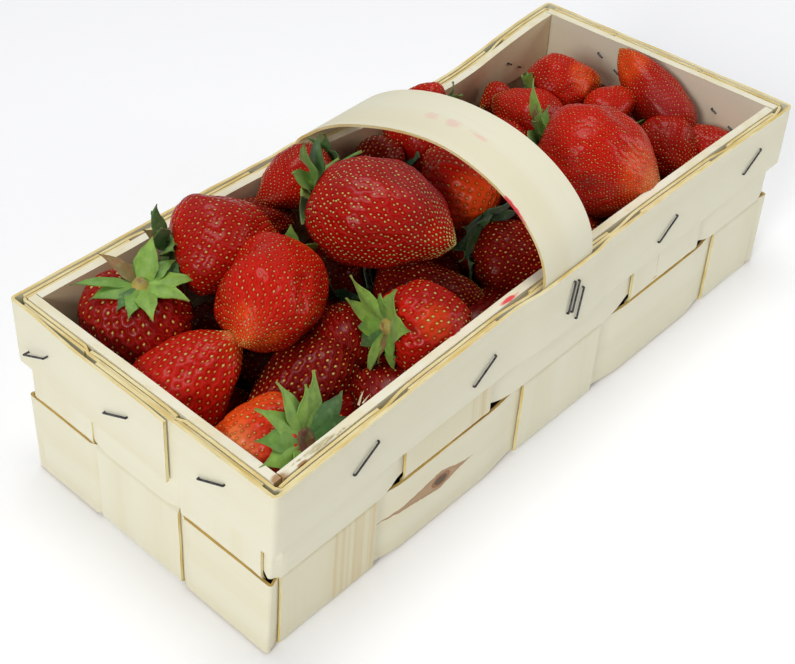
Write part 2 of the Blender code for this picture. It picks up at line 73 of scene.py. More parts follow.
VENEER = 1.0
LAYER = 1.4
CLEAR = 0.3
RIM_THICK = 1.1
RIM_PROUD = RIM_THICK + CLEAR
BATTEN_THICK = 3.0
BATTEN_DEPTH = LAYER + VENEER + CLEAR
LOWER_RADIUS, UPPER_RADIUS, BAND_RADIUS = 1.2, LAYER + 1.2, 0.6
FOLD_RADIUS = 1.9
BOW_END = 131.0
NEAR_BOW = 2.0
FAR_BOW, FAR_BOW_CENTRE, FAR_BOW_REACH = 8.0, 52.0, 50.0
HANDLE_CREST_Y = -8.0
HANDLE_TWIST = 3.2
OVERLAP_END, OVERLAP_START, OVERLAP_RISE = -15.8, 16.5, (50.0, 22.0)
STEP = 4.0


# ---------------------------------------------------------------- node trees

class Tree:
    """Adds nodes to a tree. An input's value is either a socket to link or a plain value."""

    def __init__(self, group):
        self.group = group

    def add(self, kind, inputs=None, settings=None, output=0):
        node = self.group.nodes.new(kind)
        for key, value in (settings or {}).items():
            setattr(node, key, value)
        for key, value in (inputs or {}).items():
            if isinstance(value, bpy.types.NodeSocket):
                self.group.links.new(value, node.inputs[key])
            else:
                node.inputs[key].default_value = value
        return node.outputs[output] if len(node.outputs) else node

    def math(self, operation, *values, clamp=False):
        settings = {"operation": operation, "use_clamp": clamp}
        return self.add("ShaderNodeMath", dict(enumerate(values)), settings)

    def vector(self, operation, *values, output=0):
        return self.add("ShaderNodeVectorMath", dict(enumerate(values)), {"operation": operation}, output)

    def scaled(self, vector, factors):
        return self.vector("MULTIPLY", vector, factors)

    def split(self, vector):
        self.add("ShaderNodeSeparateXYZ", {0: vector})
        return self.group.nodes[-1].outputs

    def ramp(self, value, start, end, low=0.0, high=1.0):
        """Smooth step of a value from one number to another."""
        inputs = {"Value": value, "From Min": start, "From Max": end, "To Min": low, "To Max": high}
        return self.add("ShaderNodeMapRange", inputs, {"interpolation_type": "SMOOTHSTEP"})

    def noise(self, vector, scale, detail=2.0, rough=0.5):
        inputs = {"Vector": vector, "Scale": scale, "Detail": detail, "Roughness": rough}
        return self.add("ShaderNodeTexNoise", inputs)

    def blend(self, factor, first, second, mode="MIX"):
        inputs = {0: factor, 6: first, 7: second}
        return self.add("ShaderNodeMix", inputs, {"data_type": "RGBA", "blend_type": mode}, 2)


def colour(red, green, blue):
    return (red, green, blue, 1.0)


def new_finish(name, roughness, specular=0.4, metallic=0.0):
    material = bpy.data.materials.new(name)
    material.use_nodes = True
    shader = material.node_tree.nodes["Principled BSDF"]
    shader.inputs["Roughness"].default_value = roughness
    shader.inputs["Specular IOR Level"].default_value = specular
    shader.inputs["Metallic"].default_value = metallic
    return material, Tree(material.node_tree), shader


def set_bump(tree, shader, height, strength, distance):
    inputs = {"Height": height, "Strength": strength, "Distance": distance}
    tree.group.links.new(tree.add("ShaderNodeBump", inputs), shader.inputs["Normal"])


# ---------------------------------------------------------------- finishes

VENEER_PALE = colour(0.84, 0.81, 0.64)
VENEER_WARM = colour(0.76, 0.68, 0.44)
# Painted reflection: the inner faces are tinted warm and red, standing in for the berries' light thrown back
# onto them
VENEER_INNER_REFLECTION = colour(0.82, 0.70, 0.46)
VENEER_INNER_REFLECTION_DEEP = colour(0.68, 0.48, 0.25)
EDGE_GOLD = colour(0.70, 0.50, 0.15)
EDGE_PALE = colour(0.84, 0.74, 0.42)
EDGE_CREAM = colour(0.86, 0.82, 0.66)
EDGE_SOFT = colour(0.80, 0.72, 0.48)
STREAK_BROWN = colour(0.64, 0.47, 0.20)
KNOT_TAN = colour(0.42, 0.23, 0.09)
KNOT_DARK = colour(0.06, 0.030, 0.012)
KNOT_RED = colour(0.30, 0.10, 0.03)
JUICE = colour(0.80, 0.05, 0.07)
JUICE_FAINT = colour(0.86, 0.46, 0.42)
# Brown of raw fibres, also used as painted shade in the recess and slit at the near batten's front end
RAW_BROWN_AND_SHADE = colour(0.36, 0.17, 0.04)
RAW_OLIVE = colour(0.46, 0.37, 0.17)

# Stains and painted shade: centre, reach along x, y and z, strength and colour
STAINS = {
    "handle": [
        ((-2.0, 5.0, 102.0), (3.0, 4.0, 4.0), 0.38, JUICE_FAINT),
        ((-1.6, -4.5, 102.5), (3.6, 4.5, 4.0), 0.52, JUICE_FAINT),
        ((-1.5, -14.5, 102.5), (1.7, 5.5, 4.0), 0.50, JUICE_FAINT),
        ((-14.3, -40.0, 93.5), (1.1, 9.0, 9.0), 0.95, JUICE),
    ],
    "batten_near": [
        ((-26.5, -51.0, 72.5), (5.5, 1.2, 2.0), 0.95, JUICE),
        # painted shade: the dark recess at the front end of the near batten, and the thin slit beside it
        ((-129.5, -54.0, 72.5), (4.5, 2.6, 5.0), 0.85, RAW_BROWN_AND_SHADE),
        ((-121.0, -54.5, 72.5), (3.0, 0.8, 5.0), 0.90, RAW_BROWN_AND_SHADE),
        ((-113.0, -53.3, 72.0), (9.0, 1.7, 4.0), 0.70, RAW_OLIVE),
    ],
}
STAINS["strips"] = [
    ((58.0, -57.5, 43.0), (0.5, 5.0, 9.0), 0.45, RAW_OLIVE),
    ((57.5, -57.5, 35.4), (2.4, 5.0, 1.0), 0.70, EDGE_GOLD),
]
STAINS["weaver_edge"] = [((-45.0, -57.5, 33.0), (15.0, 5.0, 3.0), 0.55, RAW_BROWN_AND_SHADE)]
STREAKED = [(-112.0, -90.0), (-48.0, -36.5)]
KNOT_CENTRE = (-59.7, 18.6)


def grain_colour(tree, pale, warm, streaks):
    """Colour and height of straight grain that runs along the first UV direction."""
    uv = tree.add("ShaderNodeUVMap")
    fibre = tree.noise(tree.scaled(uv, (16.0, 900.0, 1.0)), 1.0, 5.0, 0.65)
    band = tree.noise(tree.scaled(uv, (2.2, 62.0, 1.0)), 1.0, 2.0, 0.5)
    cloud = tree.noise(uv, 26.0, 2.0, 0.5)
    warmth = tree.math("MULTIPLY_ADD", tree.ramp(band, 0.38, 0.72), 0.34, tree.math("MULTIPLY", cloud, 0.22))
    base = tree.blend(warmth, pale, warm)
    base = tree.blend(tree.ramp(fibre, 0.50, 0.78, 0.0, 0.30), base, warm)
    if streaks:
        x, _, _ = tree.split(tree.add("ShaderNodeTexCoord", output=3))
        shade = 0.0
        for low, high in STREAKED:
            rise = tree.ramp(x, (low - 1.5) * MM, (low + 4.0) * MM)
            fall = tree.ramp(x, high * MM, (high - 1.5) * MM)
            shade = tree.math("MAXIMUM", shade, tree.math("MULTIPLY", rise, fall))
        base = tree.blend(0.35, base, warm)
        dark = tree.noise(tree.scaled(uv, (2.0, 330.0, 1.0)), 1.0, 3.0, 0.6)
        dark = tree.ramp(dark, 0.40, 0.66, 0.10, streaks)
        base = tree.blend(tree.math("MULTIPLY", dark, shade), base, STREAK_BROWN)
    return base, fibre


def add_stains(tree, base, stains):
    place = tree.add("ShaderNodeTexCoord", output=3)
    for centre, reach, strength, shade in stains:
        away = tree.vector("SUBTRACT", place, tuple(c * MM for c in centre))
        away = tree.vector("DIVIDE", away, tuple(r * MM for r in reach))
        ragged = tree.noise(place, 320.0, 3.0)
        edge = tree.math("MULTIPLY_ADD", ragged, 0.9, tree.vector("LENGTH", away, output=1))
        base = tree.blend(tree.ramp(edge, 1.35, 0.85, 0.0, strength), base, shade)
    return base


def add_knot(tree, base):
    """A spindle-shaped knot along the grain, with a dark eye ringed in red-brown."""
    x, y, z = tree.split(tree.add("ShaderNodeTexCoord", output=3))
    along = tree.math("DIVIDE", tree.math("SUBTRACT", x, KNOT_CENTRE[0] * MM), MM)
    tail = tree.math("LESS_THAN", along, 0.0)
    reach = tree.math("MULTIPLY_ADD", tail, 8.0, 8.9)
    bell = tree.math("POWER", tree.math("ABSOLUTE", tree.math("DIVIDE", along, reach)), 1.35)
    half = tree.math("MULTIPLY_ADD", tree.math("EXPONENT", tree.math("MULTIPLY", bell, -1.0)), 4.6, -0.55)
    lift = tree.math("MULTIPLY_ADD", along, -0.035, KNOT_CENTRE[1])
    ripple = tree.noise(tree.add("ShaderNodeTexCoord", output=3), 420.0, 3.0)
    across = tree.math("SUBTRACT", tree.math("DIVIDE", z, MM), lift)
    across = tree.math("ADD", across, tree.math("MULTIPLY_ADD", ripple, 1.2, -0.6))
    off = tree.math("SUBTRACT", tree.math("ABSOLUTE", across), half)
    near_side = tree.math("LESS_THAN", y, 0.0)
    inside = tree.math("MULTIPLY", tree.ramp(off, 0.35, -0.25), near_side)
    rim = tree.math("MULTIPLY", tree.ramp(tree.math("ABSOLUTE", off), 0.9, 0.0), inside)
    rings = tree.math("SINE", tree.math("MULTIPLY", off, 5.0))
    base = tree.blend(tree.math("MULTIPLY", inside, 0.82), base, KNOT_TAN)
    base = tree.blend(tree.math("MULTIPLY", rim, 0.55), base, KNOT_RED)
    rings = tree.math("MULTIPLY", tree.ramp(rings, 0.2, 1.0), tree.math("MULTIPLY", inside, 0.3))
    base = tree.blend(rings, base, KNOT_RED)
    eye = tree.math("POWER", tree.math("DIVIDE", along, 3.9), 2.0)
    eye = tree.math("ADD", eye, tree.math("POWER", tree.math("DIVIDE", across, 2.3), 2.0))
    eye = tree.math("MULTIPLY_ADD", ripple, 0.5, eye)
    ring = tree.math("ABSOLUTE", tree.math("SUBTRACT", eye, 1.3))
    ring = tree.math("MULTIPLY", tree.ramp(ring, 0.55, 0.1), near_side)
    base = tree.blend(tree.math("MULTIPLY", ring, 0.8), base, KNOT_RED)
    core = tree.math("MULTIPLY", tree.ramp(eye, 1.15, 0.7), near_side)
    return tree.blend(tree.math("MULTIPLY", core, 0.85), base, KNOT_DARK)


def veneer_finish(name, pale=VENEER_PALE, warm=VENEER_WARM, streaks=0.0, stains=(), knot=False):
    material, tree, shader = new_finish(name, 0.52, 0.28)
    base, fibre = grain_colour(tree, pale, warm, streaks)
    if knot:
        base = add_knot(tree, base)
    base = add_stains(tree, base, stains)
    tree.group.links.new(base, shader.inputs["Base Color"])
    set_bump(tree, shader, fibre, 0.35, 0.00012)
    return material


def edge_finish(name, pale=EDGE_PALE, gold=EDGE_GOLD, flecks=0.5, stains=()):
    """Cut edge of the veneer: golden, with brown fibres along it."""
    material, tree, shader = new_finish(name, 0.6, 0.2)
    uv = tree.add("ShaderNodeUVMap")
    long_spots = tree.noise(tree.scaled(uv, (55.0, 300.0, 1.0)), 1.0, 3.0, 0.6)
    base = tree.blend(tree.ramp(long_spots, 0.35, 0.7), pale, gold)
    fleck = tree.noise(tree.scaled(uv, (160.0, 1500.0, 1.0)), 1.0, 2.0)
    base = tree.blend(tree.ramp(fleck, 0.60, 0.75, 0.0, flecks), base, STREAK_BROWN)
    base = add_stains(tree, base, stains)
    tree.group.links.new(base, shader.inputs["Base Color"])
    set_bump(tree, shader, fleck, 0.5, 0.0001)
    return material


def skin_finish():
    """Strawberry skin: glossy, with painted shade deep in the pits and a painted highlight ring round each of
    them.
    """
    material, tree, shader = new_finish("strawberry_skin", 0.27, 0.15)
    base = tree.add("ShaderNodeAttribute", settings={"attribute_name": "skin"})
    place = tree.add("ShaderNodeTexCoord", output=3)
    pit = tree.add("ShaderNodeAttribute", settings={"attribute_name": "pit"}, output=2)
    mottle = tree.noise(place, 420.0, 3.0, 0.6)
    base = tree.blend(tree.ramp(mottle, 0.35, 0.75, 0.0, 0.30), base, colour(0.30, 0.002, 0.002))
    # painted highlight: a lighter red ring round each pit, where its rim would catch the light
    painted_highlight_ring = tree.math("MULTIPLY", tree.ramp(pit, 0.02, 0.14), tree.ramp(pit, 0.42, 0.2))
    base = tree.blend(tree.math("MULTIPLY", painted_highlight_ring, 0.13), base, colour(0.80, 0.09, 0.05))
    # painted shade: darker red deep in each pit
    base = tree.blend(tree.ramp(pit, 0.45, 0.9, 0.0, 0.45), base, colour(0.34, 0.004, 0.002))
    tree.group.links.new(base, shader.inputs["Base Color"])
    shader.inputs["Subsurface Weight"].default_value = 0.08
    shader.inputs["Subsurface Radius"].default_value = (1.0, 0.12, 0.06)
    shader.inputs["Subsurface Scale"].default_value = 0.0012
    set_bump(tree, shader, tree.noise(place, 700.0, 2.0), 0.30, 0.0002)
    return material


def seed_finish():
    material, tree, shader = new_finish("strawberry_seed", 0.38, 0.5)
    tint = tree.add("ShaderNodeAttribute", settings={"attribute_name": "seed_tint"}, output=2)
    base = tree.blend(tree.ramp(tint, 0.0, 0.6), colour(0.66, 0.38, 0.06), colour(0.55, 0.22, 0.02))
    base = tree.blend(tree.ramp(tint, 0.62, 0.95), base, colour(0.58, 0.52, 0.14))
    tree.group.links.new(base, shader.inputs["Base Color"])
    return material


def leaf_finish():
    """Calyx leaf: paler along the midrib and side veins, mottled between them."""
    material, tree, shader = new_finish("calyx_green", 0.50, 0.35)
    base = tree.add("ShaderNodeAttribute", settings={"attribute_name": "leaf"})
    u, v, _ = tree.split(tree.add("ShaderNodeUVMap"))
    side = tree.math("ABSOLUTE", v)
    midrib = tree.ramp(side, 0.10, 0.0)
    slanted = tree.math("MULTIPLY", tree.math("SUBTRACT", u, tree.math("MULTIPLY", side, 0.16)), 52.0)
    veins = tree.ramp(tree.math("SINE", slanted), 0.72, 1.0)
    mottle = tree.noise(tree.add("ShaderNodeTexCoord", output=3), 330.0, 4.0, 0.65)
    base = tree.blend(tree.ramp(mottle, 0.42, 0.75, 0.0, 0.45), base, colour(0.05, 0.15, 0.03))
    base = tree.blend(tree.math("MULTIPLY", midrib, 0.45), base, colour(0.42, 0.52, 0.20))
    base = tree.blend(tree.math("MULTIPLY", veins, 0.16), base, colour(0.30, 0.45, 0.16))
    tree.group.links.new(base, shader.inputs["Base Color"])
    shader.inputs["Sheen Weight"].default_value = 0.15
    height = tree.math("MULTIPLY_ADD", midrib, -0.8, tree.math("MULTIPLY_ADD", veins, -0.4, mottle))
    set_bump(tree, shader, height, 0.6, 0.0003)
    return material


def plain_finish(name, first, second, roughness, scale, specular=0.3, metallic=0.0):
    """Two colours mottled together."""
    material, tree, shader = new_finish(name, roughness, specular, metallic)
    place = tree.add("ShaderNodeTexCoord", output=3)
    spots = tree.noise(place, scale, 4.0, 0.6)
    tree.group.links.new(tree.blend(tree.ramp(spots, 0.35, 0.65), first, second), shader.inputs["Base Color"])
    set_bump(tree, shader, spots, 0.4, 0.0002)
    return material


# ---------------------------------------------------------------- mesh helpers

def new_object(name, mesh):
    made = bpy.data.objects.new(name, mesh)
    bpy.context.collection.objects.link(made)
    return made


def smooth(value):
    value = min(max(value, 0.0), 1.0)
    return value * value * (3.0 - 2.0 * value)


def wobble(place, reach, seed=0.0):
    """Smooth noise between about -1 and 1 that varies over the given distance."""
    x, y, z = place
    return noise.noise(Vector((x / reach + 7.3 * seed, y / reach - 3.1 * seed, z / reach + seed)))


def spread(start, end, step=STEP):
    """Evenly spaced values from start to end, no further apart than a step."""
    count = max(1, math.ceil(abs(end - start) / step))
    return [start + (end - start) * k / count for k in range(count + 1)]


def build_veneer(name, outer, inner, run, across, finishes, closed=False):
    """A thin sheet between two grids of points, indexed by column along the grain and row across it."""
    count, rows = len(outer), len(outer[0])
    points = [p for grid in (outer, inner) for column in grid for p in column]
    faces, slots, uvs = [], [], []
    half = count * rows

    def face(corners, places, slot):
        faces.append(corners)
        slots.append(slot)
        uvs.extend(places)

    spans = [(i, (i + 1) % count) for i in range(count if closed else count - 1)]
    for i, j in spans:
        end = run[j] if j > i else run[i] + STEP
        for k in range(rows - 1):
            places = [(run[i], across[k]), (end, across[k]), (end, across[k + 1]), (run[i], across[k + 1])]
            for shift in (0, half):
                base = [rows * i + k, rows * j + k, rows * j + k + 1, rows * i + k + 1]
                face([shift + c for c in base], places, 2 if shift and len(finishes) > 2 else 0)
        for k in (0, rows - 1):
            corners = [rows * i + k, rows * j + k, half + rows * j + k, half + rows * i + k]
            face(corners, [(run[i], 0), (end, 0), (end, VENEER), (run[i], VENEER)], 1)
    if not closed:
        for i in (0, count - 1):
            for k in range(rows - 1):
                corners = [rows * i + k, rows * i + k + 1, half + rows * i + k + 1, half + rows * i + k]
                low, high = across[k], across[k + 1]
                face(corners, [(low, 0), (high, 0), (high, VENEER), (low, VENEER)], 1)
    mesh = bpy.data.meshes.new(name)
    mesh.from_pydata([Vector(p) * MM for p in points], [], faces)
    layer = mesh.uv_layers.new(name="UVMap")
    layer.data.foreach_set("uv", np.array(uvs, dtype=np.float32).ravel() * MM)
    mesh.polygons.foreach_set("material_index", slots)
    for finish in finishes:
        mesh.materials.append(finish)
    turn_outward(mesh)
    mesh.shade_smooth()
    mesh.set_sharp_from_angle(angle=math.radians(40))
    return new_object(name, mesh)


def turn_outward(mesh):
    model = bmesh.new()
    model.from_mesh(mesh)
    bmesh.ops.recalc_face_normals(model, faces=model.faces)
    model.to_mesh(mesh)
    model.free()


def settle(piece, slot, *nodes):
    """Attach a finished piece to the root body and hide the CAD nodes that it stands for; the slot is not
    used.
    """
    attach(piece, "root")
    if nodes:
        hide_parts(*nodes)


# ---------------------------------------------------------------- the wall surface

def bow(side, x):
    """How far the top edge of a long wall leans in at x."""
    share = min(abs(x) / BOW_END, 1.0)
    if side == "near":
        return NEAR_BOW * (1.0 - share ** 2)
    return FAR_BOW * math.exp(-(((x - FAR_BOW_CENTRE) / FAR_BOW_REACH) ** 2)) * (1.0 - share ** 8)


def lean(z):
    """Share of the bow that a height has: none below the split between the weavers."""
    foot = (SPLIT_LOW + SPLIT_HIGH) / 2
    return min(max((z - foot) / (HEIGHT - foot), 0.0), 1.2) ** 1.1


def corner_at(name, z):
    """Where the outer faces of two walls would meet at a height."""
    return [foot + (rim - foot) * z / HEIGHT for foot, rim in zip(FOOT[name], RIM[name])]


def face_at(side, along, z):
    """Place of a wall's outer face across its run, straight from corner to corner."""
    start, end, axis = SIDES[side]
    first, last = corner_at(start, z), corner_at(end, z)
    part = (along - first[axis]) / (last[axis] - first[axis])
    return first[1 - axis] + (last[1 - axis] - first[1 - axis]) * part


def wall_point(station, z, depth):
    """Point at a depth behind the weave's outer face; a station is (side, position along that side)."""
    side, along = station
    if side == "near":
        return Vector((along, face_at(side, along, z) + bow(side, along) * lean(z) + depth, z))
    if side == "far":
        return Vector((along, face_at(side, along, z) - bow(side, along) * lean(z) - depth, z))
    if side == "left":
        return Vector((face_at(side, along, z) + depth, along, z))
    if side == "right":
        return Vector((face_at(side, along, z) - depth, along, z))
    name, radius, angle = along
    x, y = corner_at(name, z)
    reach = radius - depth
    x += reach * math.cos(angle) - math.copysign(radius, x)
    y += reach * math.sin(angle) - math.copysign(radius, y)
    return Vector((x, y, z))


def corner_stations(name, radius):
    """Stations round one corner, counter-clockwise seen from above, by the radius of the weave's face."""
    start = CORNER_START[name] * math.pi / 2
    return [("corner", (name, radius, start + k * math.pi / 10)) for k in range(6)]


def layer_depth(at, strips, depths, end_depth):
    """Depth of a weaver at a place along one side: level over each strip, sloping in the gaps."""
    ends = [(-1e3, strips[0][0] - 3.5, end_depth)]
    ends += [(low, high, depth) for (low, high), depth in zip(strips, depths)]
    ends += [(strips[-1][1] + 3.5, 1e3, end_depth)]
    for (_, here, depth), (there, _, after) in zip(ends, ends[1:]):
        if at <= here:
            return depth
        if at < there:
            return depth + (after - depth) * smooth((at - here) / (there - here))
    return end_depth


def ring_stations(radius, step=3.0):
    """Stations all round the walls: left end, front corner, near side, right corner, right end and so on."""
    stations = [("left", y) for y in spread(52.0, -52.0, step)] + corner_stations("front", radius)
    stations += [("near", x) for x in spread(CROSS[0][0], 131.0, step)] + corner_stations("right", radius)
    stations += [("right", y) for y in spread(-52.0, 52.0, step)] + corner_stations("back", radius)
    return stations + [("far", x) for x in spread(130.0, CROSS[0][0], step)] + corner_stations("left", radius)


def run_along(points):
    """Distance along a line of points."""
    run = [0.0]
    for here, there in zip(points, points[1:]):
        run.append(run[-1] + math.dist(here, there))
    return run


# ---------------------------------------------------------------- woven strips and weavers

def is_lower(cross, lengthwise):
    return (cross + lengthwise) % 2 == 0


def strip_profile(wall_a, wall_b, ends, outside_below, level):
    """Steps down one wall, under the bottom and up the other, as (kind, wall or place, height, depth)."""
    below, above = (0.0, LAYER) if outside_below else (LAYER, 0.0)

    def depth(z):
        return below + (above - below) * smooth((z - SPLIT_LOW + 0.6) / (SPLIT_HIGH - SPLIT_LOW + 1.2))

    heights = spread(below + FOLD_RADIUS, SPLIT_LOW - 1.0, 5.0)
    heights += spread(SPLIT_LOW - 0.4, SPLIT_HIGH + 0.4, 0.6) + spread(SPLIT_HIGH + 1.0, WEAVE_TOP, 5.0)
    arcs = [k * math.pi / 8 for k in range(1, 5)]
    profile = [("wall", wall_a, z, depth(z)) for z in reversed(heights)]
    profile += [("fold", wall_a, angle, below) for angle in arcs]
    profile += [("base", place, level(place), 0.0) for place in spread(*ends, 2.0)]
    profile += [("fold", wall_b, angle, below) for angle in reversed(arcs)]
    return profile + [("wall", wall_b, z, depth(z)) for z in heights]


def profile_point(step, across, thickness, along_x):
    kind, place, height, depth = step
    if kind == "wall":
        return wall_point((place, across), height, depth + thickness)
    if kind == "fold":
        reach = FOLD_RADIUS - thickness
        z = depth + FOLD_RADIUS - reach * math.sin(height)
        return wall_point((place, across), z, depth + FOLD_RADIUS - reach * math.cos(height))
    return Vector((across, place, height + thickness) if along_x else (place, across, height + thickness))


def make_strip(name, low, high, profile, along_x, finishes, seed, curl=0.25):
    """A strip swept along its profile, with uneven edges that curl out a little."""
    rows = spread(low, high, 5.0)
    outer, inner = [], []
    for step in profile:
        columns = ([], [])
        for k, across in enumerate(rows):
            if k in (0, len(rows) - 1):
                across += 0.3 * wobble(profile_point(step, across, 0.0, along_x), 9.0, seed)
            outside = profile_point(step, across, 0.0, along_x)
            inside = profile_point(step, across, VENEER, along_x)
            away = max(min(across - low, high - across), 0.0)
            shift = 0.10 * wobble(outside, 22.0, seed)
            if step[0] == "wall" and step[3] > 0.5:
                shift -= curl * math.exp(-((away / 3.0) ** 2))
            shift = (inside - outside).normalized() * shift
            columns[0].append(outside + shift)
            columns[1].append(inside + shift)
        outer.append(columns[0])
        inner.append(columns[1])
    run = [r + 37.0 * seed for r in run_along([column[len(rows) // 2] for column in outer])]
    return build_veneer(name, outer, inner, run, rows, finishes)


def switching(levels, edges):
    """Height of a strip under the bottom: level over each crossing, changing between them."""
    def level(at):
        for (_, here), (there, _), before, after in zip(edges, edges[1:], levels, levels[1:]):
            if at <= here:
                return before
            if at < there:
                return before + (after - before) * smooth((at - here) / (there - here))
        return levels[-1]
    return level


def make_strips(plain, streaked, edge, inner):
    for i, (low, high) in enumerate(CROSS):
        levels = [0.0 if is_lower(i, j) else LAYER for j in range(len(LENGTHWISE))]
        level = switching(levels, [(a + 0.4, b - 0.4) for a, b in LENGTHWISE])
        profile = strip_profile("near", "far", (-50.0, 51.0), is_lower(i, 0), level)
        finish = streaked if i in (0, 1) else plain
        piece = make_strip(f"chip_cross_{i + 1}", low, high, profile, True, (finish, edge, inner), i + 1)
        settle(piece, "pale_veneer", f"cross_strip_{i + 1}")
    for j, (low, high) in enumerate(LENGTHWISE):
        levels = [LAYER if is_lower(i, j) else 0.0 for i in range(len(CROSS))]
        level = switching(levels, CROSS)
        profile = strip_profile("left", "right", (-131.0, 129.0), not is_lower(0, j), level)
        finishes, seed = (plain, edge, inner), j + 11
        piece = make_strip(f"chip_lengthwise_{j + 1}", low, high, profile, False, finishes, seed, 0.35)
        settle(piece, "pale_veneer", f"lengthwise_strip_{j + 1}")


def ring_depth(station, parity):
    """Depth of the weaver that runs outside the cross strips of one parity."""
    side, along = station
    end_depth = 0.0 if parity else LAYER
    if side in ("near", "far"):
        depths = [0.0 if i % 2 == parity else LAYER for i in range(len(CROSS))]
        return layer_depth(along, CROSS, depths, end_depth)
    if side in ("left", "right"):
        depths = [0.0 if j % 2 != parity else LAYER for j in range(len(LENGTHWISE))]
        return layer_depth(along, LENGTHWISE, depths, end_depth)
    return end_depth


def lifted_edge(station):
    """How far the upper weaver's lower edge rises beside the strips that it dives behind."""
    side, along = station
    strips = CROSS[1::2] if side in ("near", "far") else LENGTHWISE[0::2]
    if side == "corner":
        return 0.0
    rise = 0.0
    for low, high in strips:
        beside = max(low - along, along - high)
        if beside > -6.0:
            rise = max(rise, 2.1 * math.exp(-((beside / 4.2) ** 2)))
    return rise


def make_weaver(name, node, parity, radius, bottom, top, finishes, seed):
    outer, inner = [], []
    for station in ring_stations(radius):
        depth = ring_depth(station, parity)
        low = bottom(station, depth)
        columns = ([], [])
        for k in range(8):
            z = low + (top - low) * k / 7
            z += 0.25 * wobble(wall_point(station, z, depth), 14.0, seed) if k in (0, 7) else 0.0
            outside = wall_point(station, z, depth)
            inside = wall_point(station, z, depth + VENEER)
            shift = (inside - outside).normalized() * 0.12 * wobble(outside, 25.0, seed)
            columns[0].append(outside + shift)
            columns[1].append(inside + shift)
        outer.append(columns[0])
        inner.append(columns[1])
    run = run_along([column[4] for column in outer])
    across = [k * 4.5 + 50 * seed for k in range(8)]
    settle(build_veneer(name, outer, inner, run, across, finishes, closed=True), "pale_veneer", node)


def make_weavers(knotted, plain, lower_edge, edge, inner):
    def above_base(station, depth):
        return 0.5 + (LAYER - 0.5) * depth / LAYER

    def upper_bottom(station, depth):
        return SPLIT_HIGH - 0.3 + lifted_edge(station)

    finishes, top = (knotted, lower_edge, inner), SPLIT_LOW + 0.3
    make_weaver("chip_weaver_lower", "lower_weaver", 1, LOWER_RADIUS, above_base, top, finishes, 21)
    finishes = (plain, edge, inner)
    make_weaver("chip_weaver_upper", "upper_weaver", 0, UPPER_RADIUS, upper_bottom, WEAVE_TOP, finishes, 22)


# ---------------------------------------------------------------- rim and handle

def rim_depth(station):
    """Outer face of the rim band: proud over the feet of the handle and over its own start."""
    side, along = station
    depth = -RIM_PROUD
    if side in ("near", "far"):
        beside = max(HANDLE[0] - 0.8 - along, along - HANDLE[1] - 0.8, 0.0)
        depth -= (VENEER + CLEAR) * (1.0 - smooth(beside / 12.0))
    return depth


def make_rim_band(plain, edge):
    stations = [("left", y) for y in spread(OVERLAP_START, -54.0)]
    ring = ring_stations(BAND_RADIUS)
    stations += ring[ring.index(corner_stations("front", BAND_RADIUS)[0]):]
    turn = len(stations)
    stations += [("left", y) for y in spread(54.5, OVERLAP_END)]
    outer, inner = [], []
    for place, station in enumerate(stations):
        depth = rim_depth(station)
        if place >= turn:
            rise = smooth((OVERLAP_RISE[0] - station[1]) / (OVERLAP_RISE[0] - OVERLAP_RISE[1]))
            depth -= RIM_PROUD * rise + 0.5 * smooth((-4.0 - station[1]) / 12.0)
        columns = ([], [])
        for k in range(7):
            z = RIM_BOTTOM + (HEIGHT - RIM_BOTTOM) * k / 6
            z += 0.22 * wobble(wall_point(station, z, depth), 16.0, 5) - 0.15 if k in (0, 6) else 0.0
            outside = wall_point(station, z, depth)
            inside = wall_point(station, z, depth + RIM_THICK)
            shift = (inside - outside).normalized() * 0.10 * wobble(outside, 30.0, 5)
            columns[0].append(outside + shift)
            columns[1].append(inside + shift)
        outer.append(columns[0])
        inner.append(columns[1])
    run = run_along([column[3] for column in outer])
    across = [4.0 * k for k in range(7)]
    settle(build_veneer("rim_hoop", outer, inner, run, across, (plain, edge)), "pale_veneer", "rim_band")


def make_batten(side, start, end, finishes, seed):
    outer, inner = [], []
    for along in spread(start, end, 3.0):
        columns = ([], [])
        thick = BATTEN_THICK * (1.0 + 0.08 * wobble((along, 0.0, 0.0), 30.0, seed))
        for k in range(6):
            z = BATTEN_BOTTOM + (BATTEN_TOP - BATTEN_BOTTOM) * k / 5
            z += 0.18 * wobble((along, 3.0, z), 12.0, seed) - 0.1 if k in (0, 5) else 0.0
            columns[0].append(wall_point((side, along), z, BATTEN_DEPTH))
            columns[1].append(wall_point((side, along), z, BATTEN_DEPTH + thick))
        outer.append(columns[0])
        inner.append(columns[1])
    run = run_along([column[3] for column in outer])
    across = [4.0 * k + 30 * seed for k in range(6)]
    piece = build_veneer(f"inner_batten_{side}", outer, inner, run, across, finishes)
    settle(piece, "pale_veneer", f"batten_{side}")


def make_battens(stained, plain, edge, inner):
    for side, finish, axis, seed in (("near", stained, 0, 31), ("far", plain, 0, 32),
                                     ("left", plain, 1, 33), ("right", plain, 1, 34)):
        low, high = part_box(f"batten_{side}")
        finishes = (finish, edge, inner if side == "far" else finish)
        make_batten(side, low[axis] / MM, high[axis] / MM, finishes, seed)


